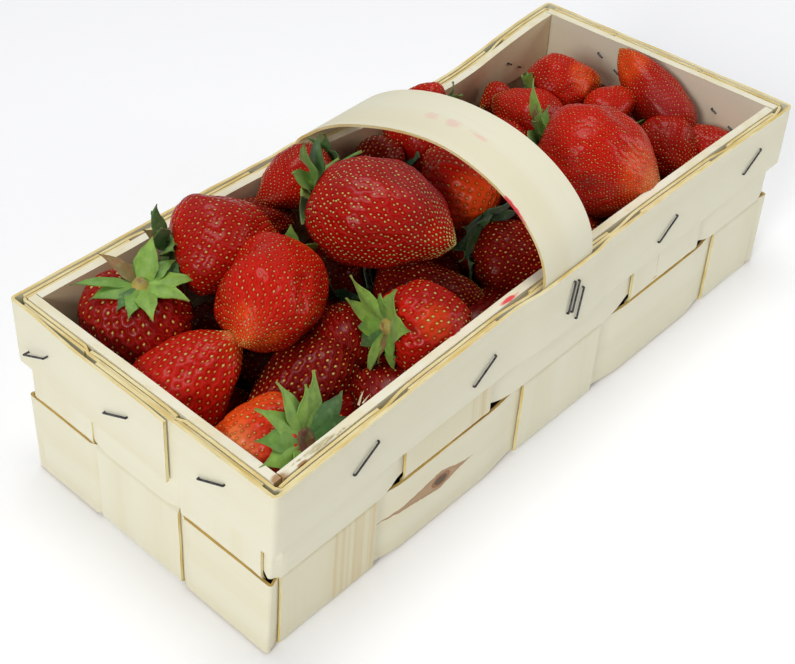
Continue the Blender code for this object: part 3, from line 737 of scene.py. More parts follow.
def handle_line(x):
    """Middle of the bow at x, from foot to foot, as (y, z) pairs."""
    rise = CREST - VENEER / 2 - HEIGHT
    middle = -CLEAR - VENEER / 2
    near = [tuple(wall_point(("near", x), z, middle).yz) for z in spread(RIM_BOTTOM + 0.5, HEIGHT, 6.0)]
    far = [tuple(wall_point(("far", x), z, middle).yz) for z in spread(HEIGHT, RIM_BOTTOM + 0.5, 6.0)]
    near_foot, far_foot = near[-1][0], far[0][0]
    steps = 26
    line = list(near)
    for k in range(1, steps + 1):
        angle = 0.5 * math.pi * k / steps
        y = HANDLE_CREST_Y - (HANDLE_CREST_Y - near_foot) * math.cos(angle)
        line.append((y, HEIGHT + rise * math.sin(angle)))
    for k in range(1, steps):
        angle = 0.5 * math.pi * (1.0 - k / steps)
        y = HANDLE_CREST_Y + (far_foot - HANDLE_CREST_Y) * math.cos(angle)
        line.append((y, HEIGHT + rise * math.sin(angle) ** (2.0 / 1.5)))
    return line + far


def make_handle(stained, edge):
    rows = spread(HANDLE[0], HANDLE[1], 3.2)
    grids = ([], [])
    for x in rows:
        line = handle_line(x)
        twist = HANDLE_TWIST * (HANDLE[1] - x) / (HANDLE[1] - HANDLE[0])
        sides = ([], [])
        for k, (y, z) in enumerate(line):
            before, after = line[max(k - 1, 0)], line[min(k + 1, len(line) - 1)]
            normal = Vector((0.0, -(after[1] - before[1]), after[0] - before[0])).normalized()
            far_half = smooth((y + 15.0) / 45.0) * min(max((z - HEIGHT) / 10.0, 0.0), 1.0)
            centre = Vector((x, y, z + 0.10 * wobble((x, y, z), 18.0, 41) - twist * far_half))
            sides[0].append(centre + normal * VENEER / 2)
            sides[1].append(centre - normal * VENEER / 2)
        grids[0].append(sides[0])
        grids[1].append(sides[1])
    outer = list(map(list, zip(*grids[0])))
    inner = list(map(list, zip(*grids[1])))
    run = run_along([column[3] for column in outer])
    settle(build_veneer("bow_handle", outer, inner, run, rows, (stained, edge)), "pale_veneer", "handle")


def make_splinters(finish):
    """Frayed slivers on the top of the near batten, each a thin three-sided spike bent once."""
    points, faces = [], []
    slivers = [(-93.6, -49.6, 5.0, 0.8, 25.0), (-92.2, -49.9, 4.0, 0.5, 75.0)]
    for k in range(15):
        x = -125.0 + 1.55 * k + wobble((k, 0.0, 0.0), 1.3)
        slivers.append((x, -53.4 + 1.0 * wobble((0.0, k, 0.0), 1.7), 2.6 + 1.8 * wobble((0.0, 0.0, k), 1.9),
                        0.7, 62.0 + 30.0 * wobble((k, k, 0.0), 1.1)))
    for k, (x, y, length, width, slant) in enumerate(slivers):
        slant, heading = math.radians(slant), 0.5 * wobble((k, 2.0, 1.0), 1.5)
        level = math.sin(slant)
        run = Vector((level * math.cos(heading), level * math.sin(heading), math.cos(slant)))
        side = run.cross(Vector((0.0, 0.0, 1.0))).normalized() * width / 2
        base, start = Vector((x, y, BATTEN_TOP - 0.6)), len(points)
        for part, share in ((0.0, 1.0), (0.55, 0.7)):
            centre = base + run * length * part
            points += [centre + side * share, centre - side * share, centre + run.cross(side) * 0.6 * share]
        points.append(base + run * length + side * 0.8)
        for m in range(3):
            n = (m + 1) % 3
            faces.append((start + m, start + n, start + 3 + n, start + 3 + m))
            faces.append((start + 3 + m, start + 3 + n, start + 6))
        faces.append((start + 2, start + 1, start))
    mesh = bpy.data.meshes.new("batten_splinters")
    mesh.from_pydata([p * MM for p in points], [], faces)
    mesh.materials.append(finish)
    turn_outward(mesh)
    settle(new_object("batten_splinters", mesh), "pale_veneer")


# ---------------------------------------------------------------- staples

STAPLE_CROWN = 12.7
STAPLE_WIRE = 0.72
STAPLE_CLINCH = 2.6
STAPLE_LEG = 8.5
STAPLE_TILT, END_TILT = 32.0, 26.0
LONG_STAPLES = [(-98.9, 60.0), (-43.9, 57.0), (58.4, 57.3), (113.5, 59.3)]
FAR_STAPLES = [(-99.0, 58.5), (-49.0, 57.0), (48.0, 57.5), (102.0, 59.8)]
LEFT_STAPLES = [(-45.6, 57.6), (-6.5, 59.6), (33.7, 60.6)]
RIGHT_STAPLES = [(-33.0, 59.0), (-5.0, 60.5), (21.0, 61.5)]
HANDLE_STAPLES = [(-0.9, 61.5), (1.4, 60.8), (4.3, 56.4)]


def new_geometry_tree(name, sizes):
    """An empty Geometry Nodes tree with named inputs, given as {name: socket type}."""
    group = bpy.data.node_groups.new(name, "GeometryNodeTree")
    group.interface.new_socket("Geometry", in_out="INPUT", socket_type="NodeSocketGeometry")
    for label, kind in sizes.items():
        group.interface.new_socket(label, in_out="INPUT", socket_type=kind)
    group.interface.new_socket("Geometry", in_out="OUTPUT", socket_type="NodeSocketGeometry")
    entry = group.nodes.new("NodeGroupInput")
    return Tree(group), entry.outputs


def finish_geometry_tree(tree, geometry):
    exit_node = tree.group.nodes.new("NodeGroupOutput")
    tree.group.links.new(geometry, exit_node.inputs[0])


def run_geometry_tree(name, tree, values, start=None):
    """Evaluate a tree on a mesh with the given inputs, and return the plain mesh that it makes."""
    holder = new_object(name, start or bpy.data.meshes.new(name))
    modifier = holder.modifiers.new("shape", "NODES")
    modifier.node_group = tree.group
    for item in tree.group.interface.items_tree:
        if item.in_out == "INPUT" and item.name in values:
            modifier[item.identifier] = values[item.name]
    evaluated = holder.evaluated_get(bpy.context.evaluated_depsgraph_get())
    mesh = bpy.data.meshes.new_from_object(evaluated)
    bpy.data.objects.remove(holder, do_unlink=True)
    return mesh


def staple_tree():
    """Staples on points: a flat wire with its legs driven in and its tips folded towards each other."""
    sizes = {"Crown": "NodeSocketFloat", "Wire": "NodeSocketFloat", "Leg": "NodeSocketFloat",
             "Tip": "NodeSocketFloat", "Material": "NodeSocketMaterial"}
    tree, entry = new_geometry_tree("staples", sizes)
    turn = tree.add("GeometryNodeInputNamedAttribute", {"Name": "turn"}, {"data_type": "FLOAT_VECTOR"})
    half = tree.math("DIVIDE", tree.math("SUBTRACT", entry["Crown"], entry["Wire"]), 2.0)

    def corner(along, depth):
        return tree.add("ShaderNodeCombineXYZ", {0: along, 2: depth})

    def line(start, end):
        return tree.add("GeometryNodeCurvePrimitiveLine", {"Start": corner(*start), "End": corner(*end)})

    other = tree.math("MULTIPLY", half, -1.0)
    fold = tree.math("SUBTRACT", half, entry["Tip"])
    deep = tree.math("MULTIPLY", entry["Leg"], -1.0)
    crown = line((other, 0.0), (half, 0.0))
    right_leg = line((half, 0.0), (half, deep))
    left_leg = line((other, 0.0), (other, deep))
    right_tip = line((half, deep), (fold, deep))
    back = tree.math("MULTIPLY", fold, -1.0)
    left_tip = line((other, deep), (back, deep))
    lines = tree.group.nodes.new("GeometryNodeJoinGeometry")
    for part in (crown, right_leg, left_leg, right_tip, left_tip):
        tree.group.links.new(part, lines.inputs[0])
    radius = tree.math("MULTIPLY", entry["Wire"], 0.5)
    section = tree.add("GeometryNodeCurvePrimitiveCircle", {"Resolution": 8, "Radius": radius})
    sweep = {"Curve": lines.outputs[0], "Profile Curve": section, "Fill Caps": True}
    wire = tree.add("GeometryNodeCurveToMesh", sweep)
    placed = tree.add("GeometryNodeInstanceOnPoints", {"Points": entry["Geometry"], "Instance": wire,
                      "Rotation": tree.add("FunctionNodeEulerToRotation", {0: turn})})
    solid = tree.add("GeometryNodeRealizeInstances", {"Geometry": placed})
    painted = tree.add("GeometryNodeSetMaterial", {"Geometry": solid, "Material": entry["Material"]})
    finish_geometry_tree(tree, painted)
    return tree


def staple_places():
    """Every staple as (side, place along it, height, tilt, what its crown stands on)."""
    places = []
    for side, row in (("near", LONG_STAPLES), ("far", FAR_STAPLES)):
        places += [(side, x, z, STAPLE_TILT, RIM_PROUD) for x, z in row]
        places += [(side, x, z, 78.0, RIM_PROUD + VENEER + CLEAR) for x, z in HANDLE_STAPLES]
    for side, sign, row in (("left", -1, LEFT_STAPLES), ("right", 1, RIGHT_STAPLES)):
        for y, z in row:
            doubled = side == "left" and sign * y > OVERLAP_END
            places.append((side, sign * y, z, END_TILT, RIM_PROUD * (2 if doubled else 1)))
    return places


def make_staples(wire):
    """All staples as one piece: a tree puts a bent wire on each place, turned to its wall and tilt."""
    points, turns, nodes = [], [], [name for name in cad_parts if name.startswith("staple_")]
    for side, along, z, tilt, proud in staple_places():
        centre = wall_point((side, along), z, 0.0)
        run = wall_point((side, along + 1.0), z, 0.0) - centre
        run *= 1.0 if side in ("near", "right") else -1.0
        rise = wall_point((side, along), z + 1.0, 0.0) - centre
        outward = run.cross(rise).normalized()
        crown = Matrix.Rotation(math.radians(tilt), 3, outward) @ run.normalized()
        points.append((centre + outward * (proud + CLEAR + STAPLE_WIRE / 2)) * MM)
        turns.append(Matrix((crown, outward.cross(crown), outward)).transposed().to_euler())
    mesh = bpy.data.meshes.new("staples")
    mesh.from_pydata(points, [], [])
    mesh.attributes.new("turn", "FLOAT_VECTOR", "POINT").data.foreach_set("vector", np.ravel(turns))
    values = {"Crown": STAPLE_CROWN * MM, "Wire": STAPLE_WIRE * MM, "Tip": STAPLE_CLINCH * MM,
              "Leg": STAPLE_LEG * MM, "Material": wire}
    piece = new_object("wire_staples", run_geometry_tree("staples", staple_tree(), values, mesh))
    settle(piece, "staple_wire", *nodes)


# ---------------------------------------------------------------- strawberries

SHOULDER = 0.34
GOLDEN_TURN = math.pi * (3.0 - math.sqrt(5.0))

BRIGHT = (0.54, 0.008, 0.002)
DEEP = (0.38, 0.004, 0.002)
# Darkest red: painted shade on the berries that lie low in the heap or in shadow, and a darker tone mixed in
# at random
DARK_RED_AND_SHADE = (0.13, 0.0015, 0.001)
# Painted shade: the colour of b01, which lies in the shadow of the left wall
SHADED_WINE_RED = (0.25, 0.003, 0.0015)
ORANGE = (0.80, 0.075, 0.006)
PALE = (0.88, 0.42, 0.14)
GREENISH = (0.62, 0.60, 0.22)
# Painted sheen: a purple reflection of a light on the tops of some berries
PAINTED_PURPLE_SHEEN = (0.30, 0.030, 0.035)

# name: centre, (length, width, thickness), heading and pitch from calyx to tip, the colours of the
# skin, calyx end and tip, and the spacing of the seeds
# The darkest skin colours, on the berries that lie low or in shadow, are painted shade
BERRIES = {
    "b01": ((-107, 34, 58), (41, 35, 34), (92, -79), SHADED_WINE_RED, SHADED_WINE_RED, DARK_RED_AND_SHADE, 3.5),
    "b02": ((-73, 29, 76), (37, 36, 30), (-31, -6), DEEP, BRIGHT, BRIGHT, 2.6),
    "b03": ((-46, 41, 62), (29, 21, 20), (-15, -8), DARK_RED_AND_SHADE, DARK_RED_AND_SHADE, DARK_RED_AND_SHADE, 1.9),
    "b04": ((-31, 41.5, 72), (34, 21, 20), (178, -10), DEEP, DARK_RED_AND_SHADE, DARK_RED_AND_SHADE, 1.7),
    "b05": ((-30, -1, 80), (51, 41, 33), (-69, -9), DEEP, DEEP, BRIGHT, 2.25),
    "b07": ((-80.9, 1.4, 72.5), (53, 33, 31), (-151, 7), BRIGHT, ORANGE, ORANGE, 2.4),
    "b08": ((-112.5, 0.7, 62.3), (43, 33, 30), (-19, 40), BRIGHT, DEEP, ORANGE, 3.1),
    "b09": ((-118.5, -32, 59), (40, 31, 30), (112, -31), ORANGE, ORANGE, PALE, 2.9),
    "b10": ((-85, -17, 51), (43, 28, 27), (177, 3), DARK_RED_AND_SHADE, DARK_RED_AND_SHADE, DEEP, 3.0),
    "b11": ((-49, -38, 67), (32, 29, 27), (-23, -18), DEEP, BRIGHT, BRIGHT, 3.0),
    "b12": ((-23, -16, 50), (39, 29, 28), (-52, 6), DARK_RED_AND_SHADE, DARK_RED_AND_SHADE, DARK_RED_AND_SHADE, 2.5),
    "b13": ((8, 0, 73), (35, 26, 25), (75, 16), BRIGHT, ORANGE, BRIGHT, 3.0),
    "b14": ((10, -26, 53), (30, 29, 28), (-45, 6), DARK_RED_AND_SHADE, DARK_RED_AND_SHADE, DARK_RED_AND_SHADE, 2.5),
    "b15": ((6, 36, 64), (21, 22, 21), (164, 0), DARK_RED_AND_SHADE, DARK_RED_AND_SHADE, DARK_RED_AND_SHADE, 2.6),
    "b16": ((28, 34, 82), (17, 15, 15), (113, 0), BRIGHT, DEEP, BRIGHT, 2.2),
    "b17": ((51.5, -29, 73.5), (47, 49, 41), (-64, -13), BRIGHT, BRIGHT, BRIGHT, 1.65),
    "b18": ((70, 18.7, 64), (30, 25, 23), (91, 8), BRIGHT, DEEP, DEEP, 1.8),
    "b19": ((95, 18, 67.5), (32, 24, 23), (-28, -5), BRIGHT, DEEP, ORANGE, 1.8),
    "b20": ((77, 38, 59), (15, 14, 14), (170, -7), DEEP, DEEP, DEEP, 2.0),
    "b21": ((115, -8.8, 65), (45, 21.5, 21), (97, 30), DEEP, DEEP, BRIGHT, 1.7),
    "b22": ((99, -2, 65), (26, 17, 16), (-11, 5), BRIGHT, DEEP, BRIGHT, 1.7),
    "b23": ((105, -26.7, 53), (29, 25, 24), (-111, -12), DEEP, DEEP, DEEP, 1.9),
    "b24": ((119, -35, 52), (30, 19, 18), (103, 16), DEEP, DEEP, GREENISH, 2.0),
    "b25": ((-37, 13, 50), (25, 21, 20), (32, 0), DARK_RED_AND_SHADE, DARK_RED_AND_SHADE, DARK_RED_AND_SHADE, 2.6),
    "b26": ((28, -34, 58), (34, 28, 27), (20, 0), DARK_RED_AND_SHADE, DARK_RED_AND_SHADE, DARK_RED_AND_SHADE, 2.6),
    "b27": ((30, 8, 62), (36, 29, 28), (-60, -10), DEEP, DEEP, DEEP, 2.6),
    "b28": ((54, 16, 58), (32, 26, 26), (40, 0), DEEP, DEEP, DEEP, 2.4),
    "b29": ((84, -12, 56), (34, 28, 27), (0, 0), DEEP, DEEP, DEEP, 2.4),
    "b30": ((111, 34, 48), (32, 26, 25), (70, -10), DEEP, DEEP, DEEP, 2.4),
    "b31": ((-60, -10, 50), (36, 29, 28), (30, 0), DARK_RED_AND_SHADE, DARK_RED_AND_SHADE, DARK_RED_AND_SHADE, 2.8),
    "b32": ((-72, -41, 48), (30, 26, 25), (-160, 0), DARK_RED_AND_SHADE, DARK_RED_AND_SHADE, DARK_RED_AND_SHADE, 2.8),
    "b33": ((28, 33, 66), (30, 26, 25), (10, 0), DEEP, DEEP, DEEP, 2.4),
}


def berry_turn(heading, pitch):
    """Rotation that points the berry's calyx end along +Z of its own frame away from its tip."""
    heading, pitch = math.radians(heading), math.radians(pitch)
    axis = Vector((math.cos(pitch) * math.cos(heading), math.cos(pitch) * math.sin(heading), math.sin(pitch)))
    side = Vector((-math.sin(heading), math.cos(heading), 0.0))
    top = -axis
    third = top.cross(side)
    return Matrix((side, third, top)).transposed()


def berry_form(tree, entry, unit):
    """Point of the berry's surface for a point of the unit sphere, and how far it is from calyx to tip."""
    x, y, z = tree.split(unit)
    along = tree.math("MULTIPLY_ADD", z, -0.5, 0.5)
    above = tree.math("DIVIDE", tree.math("SUBTRACT", SHOULDER, along), SHOULDER)
    above = tree.math("POWER", tree.math("MAXIMUM", above, 0.0), 2.2)
    below = tree.math("DIVIDE", tree.math("SUBTRACT", along, SHOULDER), 1.0 - SHOULDER)
    below = tree.math("POWER", tree.math("MAXIMUM", below, 0.0), entry["Bluntness"])
    upper = tree.math("SQRT", tree.math("MAXIMUM", tree.math("SUBTRACT", 1.0, above), 0.0))
    lower = tree.math("POWER", tree.math("MAXIMUM", tree.math("SUBTRACT", 1.0, below), 0.0), 0.72)
    radius = tree.math("MULTIPLY", upper, lower)
    flat = tree.math("SQRT", tree.math("ADD", tree.math("MULTIPLY", x, x), tree.math("MULTIPLY", y, y)))
    ratio = tree.math("DIVIDE", radius, tree.math("MAXIMUM", flat, 0.0001))
    half_width = tree.math("MULTIPLY", entry["Width"], 0.5)
    half_thickness = tree.math("MULTIPLY", entry["Thickness"], 0.5)
    size_x = tree.math("MULTIPLY", tree.math("MULTIPLY", x, ratio), half_width)
    size_y = tree.math("MULTIPLY", tree.math("MULTIPLY", y, ratio), half_thickness)
    hollow = tree.math("EXPONENT", tree.math("MULTIPLY", tree.math("POWER", radius, 2.0), -14.0))
    hollow = tree.math("MULTIPLY", hollow, tree.math("LESS_THAN", along, 0.3))
    height = tree.math("SUBTRACT", tree.math("SUBTRACT", 0.5, along), tree.math("MULTIPLY", hollow, 0.05))
    size_z = tree.math("MULTIPLY", height, entry["Length"])
    place = tree.add("ShaderNodeCombineXYZ", {0: size_x, 1: size_y, 2: size_z})
    shifted = tree.vector("ADD", unit, tree.add("ShaderNodeCombineXYZ", {0: entry["Seed"], 1: entry["Seed"]}))
    lump = tree.math("SUBTRACT", tree.noise(shifted, 1.1, 1.0, 0.4), 0.5)
    lump = tree.math("MULTIPLY", lump, tree.math("MULTIPLY", entry["Lump"], entry["Width"]))
    lump = tree.math("MULTIPLY", lump, tree.math("MULTIPLY", radius, 2.0))
    swell = tree.add("ShaderNodeVectorMath", {0: unit, "Scale": lump}, {"operation": "SCALE"})
    return tree.vector("ADD", place, swell), along


def berry_tree():
    """A strawberry: body turned from its outline, seeds spiralling round it, each in its own pit."""
    sizes = {"Length": "NodeSocketFloat", "Width": "NodeSocketFloat", "Thickness": "NodeSocketFloat",
             "Bluntness": "NodeSocketFloat", "Lump": "NodeSocketFloat", "Segments": "NodeSocketInt",
             "Rings": "NodeSocketInt", "Seeds": "NodeSocketInt", "Seed Size": "NodeSocketFloat",
             "Pit Depth": "NodeSocketFloat", "Pit Reach": "NodeSocketFloat", "Seed": "NodeSocketFloat",
             "Tint": "NodeSocketFloat",
             "Skin": "NodeSocketMaterial", "Seed Skin": "NodeSocketMaterial"}
    tree, entry = new_geometry_tree("strawberry", sizes)
    detail = {"Segments": entry["Segments"], "Rings": entry["Rings"], "Radius": 1.0}
    ball = tree.add("GeometryNodeMeshUVSphere", detail)
    place, along = berry_form(tree, entry, tree.add("GeometryNodeInputPosition"))
    ball = tree.add("GeometryNodeStoreNamedAttribute", {"Geometry": ball, "Name": "along", "Value": along},
                    {"data_type": "FLOAT", "domain": "POINT"})
    body = tree.add("GeometryNodeSetPosition", {"Geometry": ball, "Position": place})

    index = tree.add("GeometryNodeInputIndex")
    part = tree.math("DIVIDE", tree.math("ADD", index, 0.5), entry["Seeds"])
    height = tree.math("MULTIPLY_ADD", part, -1.94, 0.94)
    flat = tree.math("SQRT", tree.math("SUBTRACT", 1.0, tree.math("MULTIPLY", height, height)))
    jitter = tree.noise(tree.add("ShaderNodeCombineXYZ", {0: index, 1: entry["Seed"]}), 3.7, 0.0)
    start = tree.math("MULTIPLY_ADD", jitter, 0.22, entry["Seed"])
    angle = tree.math("MULTIPLY_ADD", index, GOLDEN_TURN, start)
    unit = tree.add("ShaderNodeCombineXYZ", {0: tree.math("MULTIPLY", flat, tree.math("COSINE", angle)),
                    1: tree.math("MULTIPLY", flat, tree.math("SINE", angle)), 2: height})
    seed_place, _ = berry_form(tree, entry, unit)
    points = tree.add("GeometryNodePoints", {"Count": entry["Seeds"], "Position": seed_place})

    away = tree.add("GeometryNodeProximity", {0: points}, {"target_element": "POINTS"}, 1)
    pit = tree.ramp(away, entry["Pit Reach"], tree.math("MULTIPLY", entry["Pit Reach"], 0.25))
    normal = tree.add("GeometryNodeInputNormal")
    depth = tree.math("MULTIPLY", pit, entry["Pit Depth"])
    dip = tree.add("ShaderNodeVectorMath", {0: normal, "Scale": depth}, {"operation": "SCALE"})
    skin = tree.add("GeometryNodeStoreNamedAttribute", {"Geometry": body, "Name": "pit", "Value": pit},
                    {"data_type": "FLOAT", "domain": "POINT"})
    dip = tree.scaled(dip, (-1.0, -1.0, -1.0))
    skin = tree.add("GeometryNodeSetPosition", {"Geometry": skin, "Offset": dip})
    skin = tree.add("GeometryNodeSetMaterial", {"Geometry": skin, "Material": entry["Skin"]})

    outward = tree.add("GeometryNodeSampleNearestSurface", {"Mesh": body, "Value": normal},
                       {"data_type": "FLOAT_VECTOR"})
    upright = tree.add("FunctionNodeAlignRotationToVector", {"Vector": outward}, {"axis": "Z"})
    aimed = tree.add("FunctionNodeAlignRotationToVector", {"Rotation": upright, "Vector": (0.0, 0.0, -1.0)},
                     {"axis": "X", "pivot_axis": "Z"})
    eight_sided = {"Segments": 4, "Rings": 2, "Radius": entry["Seed Size"]}
    grain = tree.add("GeometryNodeMeshUVSphere", eight_sided)
    grain = tree.add("GeometryNodeTransform", {"Geometry": grain, "Scale": (1.15, 0.76, 0.50)})
    depth = tree.math("MULTIPLY", entry["Pit Depth"], -0.80)
    sunk = tree.add("ShaderNodeVectorMath", {0: outward, "Scale": depth}, {"operation": "SCALE"})
    points = tree.add("GeometryNodeSetPosition", {"Geometry": points, "Offset": sunk})
    seeds = tree.add("GeometryNodeInstanceOnPoints", {"Points": points, "Instance": grain, "Rotation": aimed,
                     "Scale": tree.add("FunctionNodeRandomValue", {2: 0.8, 3: 1.15, 7: index}, output=1)})
    tint = tree.add("FunctionNodeRandomValue", {2: entry["Tint"], 3: 1.0, 7: index}, output=1)
    inputs = {"Geometry": seeds, "Name": "seed_tint", "Value": tint}
    settings = {"data_type": "FLOAT", "domain": "INSTANCE"}
    seeds = tree.add("GeometryNodeStoreNamedAttribute", inputs, settings)
    seeds = tree.add("GeometryNodeRealizeInstances", {"Geometry": seeds})
    seeds = tree.add("GeometryNodeSetMaterial", {"Geometry": seeds, "Material": entry["Seed Skin"]})
    both = tree.group.nodes.new("GeometryNodeJoinGeometry")
    tree.group.links.new(seeds, both.inputs[0])
    tree.group.links.new(skin, both.inputs[0])
    finish_geometry_tree(tree, tree.add("GeometryNodeSetShadeSmooth", {"Geometry": both.outputs[0]}))
    return tree


# How full each tip is, how far the berry bends to one side, and its patches of colour as
# (place from calyx to tip, angle round it, reach, shade, strength)
FULLNESS = {"b02": 2.0, "b05": 2.1, "b07": 2.6, "b08": 1.25, "b11": 2.1, "b13": 2.0, "b17": 1.6, "b21": 2.2,
            "b24": 2.2}
SEED_SIZES = {"b05": 0.225}
PIT_DEPTHS = {"b05": 0.29}
TINTS = {"b05": 0.8}
NECKS = {"b07": (0.66, 0.34), "b08": (0.72, 0.25)}
BENDS = {"b07": (2.0, -60.0), "b21": (5.0, 200.0), "b08": (1.5, 120.0)}
# The purple patches are painted sheen, a reflection of a light, not the skin's colour
PATCHES = {
    "b05": [(0.60, -58, 17, PAINTED_PURPLE_SHEEN, 0.75), (0.25, -95, 10, PAINTED_PURPLE_SHEEN, 0.4)],
    "b08": [(0.99, 0, 6, PALE, 0.75)],
    "b09": [(0.35, -45, 8, PALE, 0.65), (0.45, -100, 12, ORANGE, 0.8), (0.15, -60, 9, BRIGHT, 0.7)],
    "b11": [(0.30, -134, 6, ORANGE, 0.5)],
    "b13": [(0.15, -70, 9, ORANGE, 0.8)],
    "b17": [(0.88, -132, 6, PALE, 0.7), (0.80, -125, 11, ORANGE, 0.7), (0.65, 144, 9, ORANGE, 0.5)],
    "b19": [(0.63, -135, 7, ORANGE, 0.7)],
    "b21": [(0.86, -51, 9, ORANGE, 0.7), (0.4, -60, 9, PAINTED_PURPLE_SHEEN, 0.5)],
    "b24": [(0.93, -34, 5, GREENISH, 0.95)],
    "b02": [(0.35, -75, 9, PAINTED_PURPLE_SHEEN, 0.35)],
}


def mix(first, second, part):
    return tuple(a + (b - a) * part for a, b in zip(first, second))


def colour_skin(mesh, skin, calyx_end, tip, seed, patches):
    """Write the skin's colour on each point: body, ends and patches run into each other unevenly; the purple
    patches are painted sheen.
    """
    along = np.zeros(len(mesh.vertices), dtype=np.float32)
    mesh.attributes["along"].data.foreach_get("value", along)
    layer = mesh.attributes.new("skin", "FLOAT_COLOR", "POINT")
    shades = []
    for vertex, part in zip(mesh.vertices, along):
        place = vertex.co / MM
        ragged = 0.16 * wobble(place, 9.0, seed)
        shade = mix(skin, calyx_end, smooth((0.22 + ragged - part) / 0.20))
        shade = mix(shade, tip, smooth((part - 0.76 + ragged) / 0.20))
        shade = mix(shade, DARK_RED_AND_SHADE, 0.30 * smooth(0.5 + 0.8 * wobble(place, 17.0, seed + 3)))
        for centre, reach, tint, strength in patches:
            away = (place - centre).length / reach + ragged
            shade = mix(shade, tint, strength * smooth((1.25 - away) / 0.7))
        shades.append((*shade, 1.0))
    layer.data.foreach_set("color", np.array(shades, dtype=np.float32).ravel())


def patch_centre(length, width, thick, part, angle):
    """Point of a berry's skin by its place from calyx to tip and its angle round the axis."""
    radius = 0.5 * math.sin(math.pi * min(max(part, 0.02), 0.98) ** 0.8)
    angle = math.radians(angle)
    return Vector((radius * width * math.cos(angle), radius * thick * math.sin(angle), (0.5 - part) * length))


def pinch_neck(mesh, length, start, amount):
    """Narrow a berry from a place on its way to the tip."""
    for vertex in mesh.vertices:
        part = 0.5 - vertex.co.z / (length * MM)
        share = 1.0 - amount * smooth((part - start) / 0.26)
        vertex.co.x *= share
        vertex.co.y *= share


def bend_tip(mesh, length, amount, angle):
    """Push the berry's points aside, more and more towards its tip."""
    angle = math.radians(angle)
    aside = Vector((math.cos(angle), math.sin(angle), 0.0)) * amount * MM
    for vertex in mesh.vertices:
        part = max(0.5 - vertex.co.z / (length * MM), 0.0)
        vertex.co += aside * part ** 2


def grow_berry(name, tree, finishes, spacing=0.85):
    centre, (length, width, thick), (heading, pitch), skin, calyx_end, tip, seed_gap = BERRIES[name]
    order = list(BERRIES).index(name)
    mean = (width + thick) / 2
    area = math.pi * mean * (0.55 * mean + 0.62 * length)
    values = {
        "Length": length * MM, "Width": width * MM, "Thickness": thick * MM,
        "Bluntness": FULLNESS.get(name, 1.6 + 0.25 * wobble((order, 0.0, 0.0), 1.7)),
        "Lump": 0.11, "Segments": int(math.pi * mean / spacing), "Rings": int(1.35 * length / spacing),
        "Seeds": int(area / (0.9 * seed_gap ** 2)), "Seed Size": SEED_SIZES.get(name, 0.185) * seed_gap * MM,
        "Pit Depth": PIT_DEPTHS.get(name, 0.20) * seed_gap * MM,
        "Pit Reach": 0.54 * seed_gap * MM, "Seed": order * 1.37,
        "Tint": TINTS.get(name, 0.0),
        "Skin": finishes[0], "Seed Skin": finishes[1],
    }
    mesh = run_geometry_tree(name, tree, values)
    patches = [(patch_centre(length, width, thick, part, angle), *rest)
               for part, angle, *rest in PATCHES.get(name, [])]
    colour_skin(mesh, skin, calyx_end, tip, order, patches)
    if name in NECKS:
        pinch_neck(mesh, length, *NECKS[name])
    if name in BENDS:
        bend_tip(mesh, length, *BENDS[name])
    mesh.transform(Matrix.Translation(Vector(centre) * MM) @ berry_turn(heading, pitch).to_4x4())
    return new_object(name, mesh)


def join_pieces(name, parts):
    with bpy.context.temp_override(active_object=parts[0], object=parts[0], selected_editable_objects=parts):
        bpy.ops.object.join()
    parts[0].name = name
    parts[0].data.name = name
    return parts[0]


def lower_berries():
    """Names of plain berries that lie under the rest, row by row, added to the list of berries."""
    names = []
    for column in range(8):
        for row in range(3):
            x, y = -110.0 + 31.5 * column + 4.0 * (row % 2), -31.0 + 30.0 * row - 3.0 * (column in (4, 5, 6))
            offset = wobble((x, y, 0.0), 21.0)
            size = 1.0 + 0.12 * wobble((y, x, 0.0), 19.0)
            names.append(f"low{3 * column + row}")
            # their dark colour is painted shade
            BERRIES[names[-1]] = ((x, y, 39.0 + 4.0 * offset), (36 * size, 28 * size, 27 * size),
                                  (400 * offset, 15 * offset), DARK_RED_AND_SHADE, DARK_RED_AND_SHADE, DARK_RED_AND_SHADE, 3.0)
    return names


def make_berries(skin, seed):
    tree = berry_tree()
    groups = {"berries_left": ["b01", "b02", "b07", "b08", "b09", "b10"],
              "berries_middle": ["b03", "b04", "b05", "b11", "b12", "b13", "b14", "b15", "b25"],
              "berries_right": ["b16", "b17", "b18", "b19", "b20", "b21", "b22", "b23", "b24"],
              "berries_between": ["b26", "b27", "b28", "b29", "b30", "b31", "b32", "b33"],
              "berries_lower": lower_berries()}
    spacing = {"berries_right": 0.66, "berries_between": 1.2, "berries_lower": 2.0}
    for group, names in groups.items():
        parts = [grow_berry(name, tree, (skin, seed), spacing.get(group, 0.70)) for name in names]
        settle(join_pieces(group, parts), "strawberry", "berry_heap")


# ---------------------------------------------------------------- calyx leaves

FRESH = (0.140, 0.295, 0.030)
LIGHT = (0.245, 0.420, 0.055)
SHADED = (0.060, 0.150, 0.032)
STRAW = (0.42, 0.30, 0.06)
# Painted shade: the darkest green, for the calyces of the hanging and low berries
SHADE_GREEN_DEEP = (0.022, 0.075, 0.035)
DRIED = (0.26, 0.13, 0.045)
BROWN = (0.16, 0.035, 0.012)

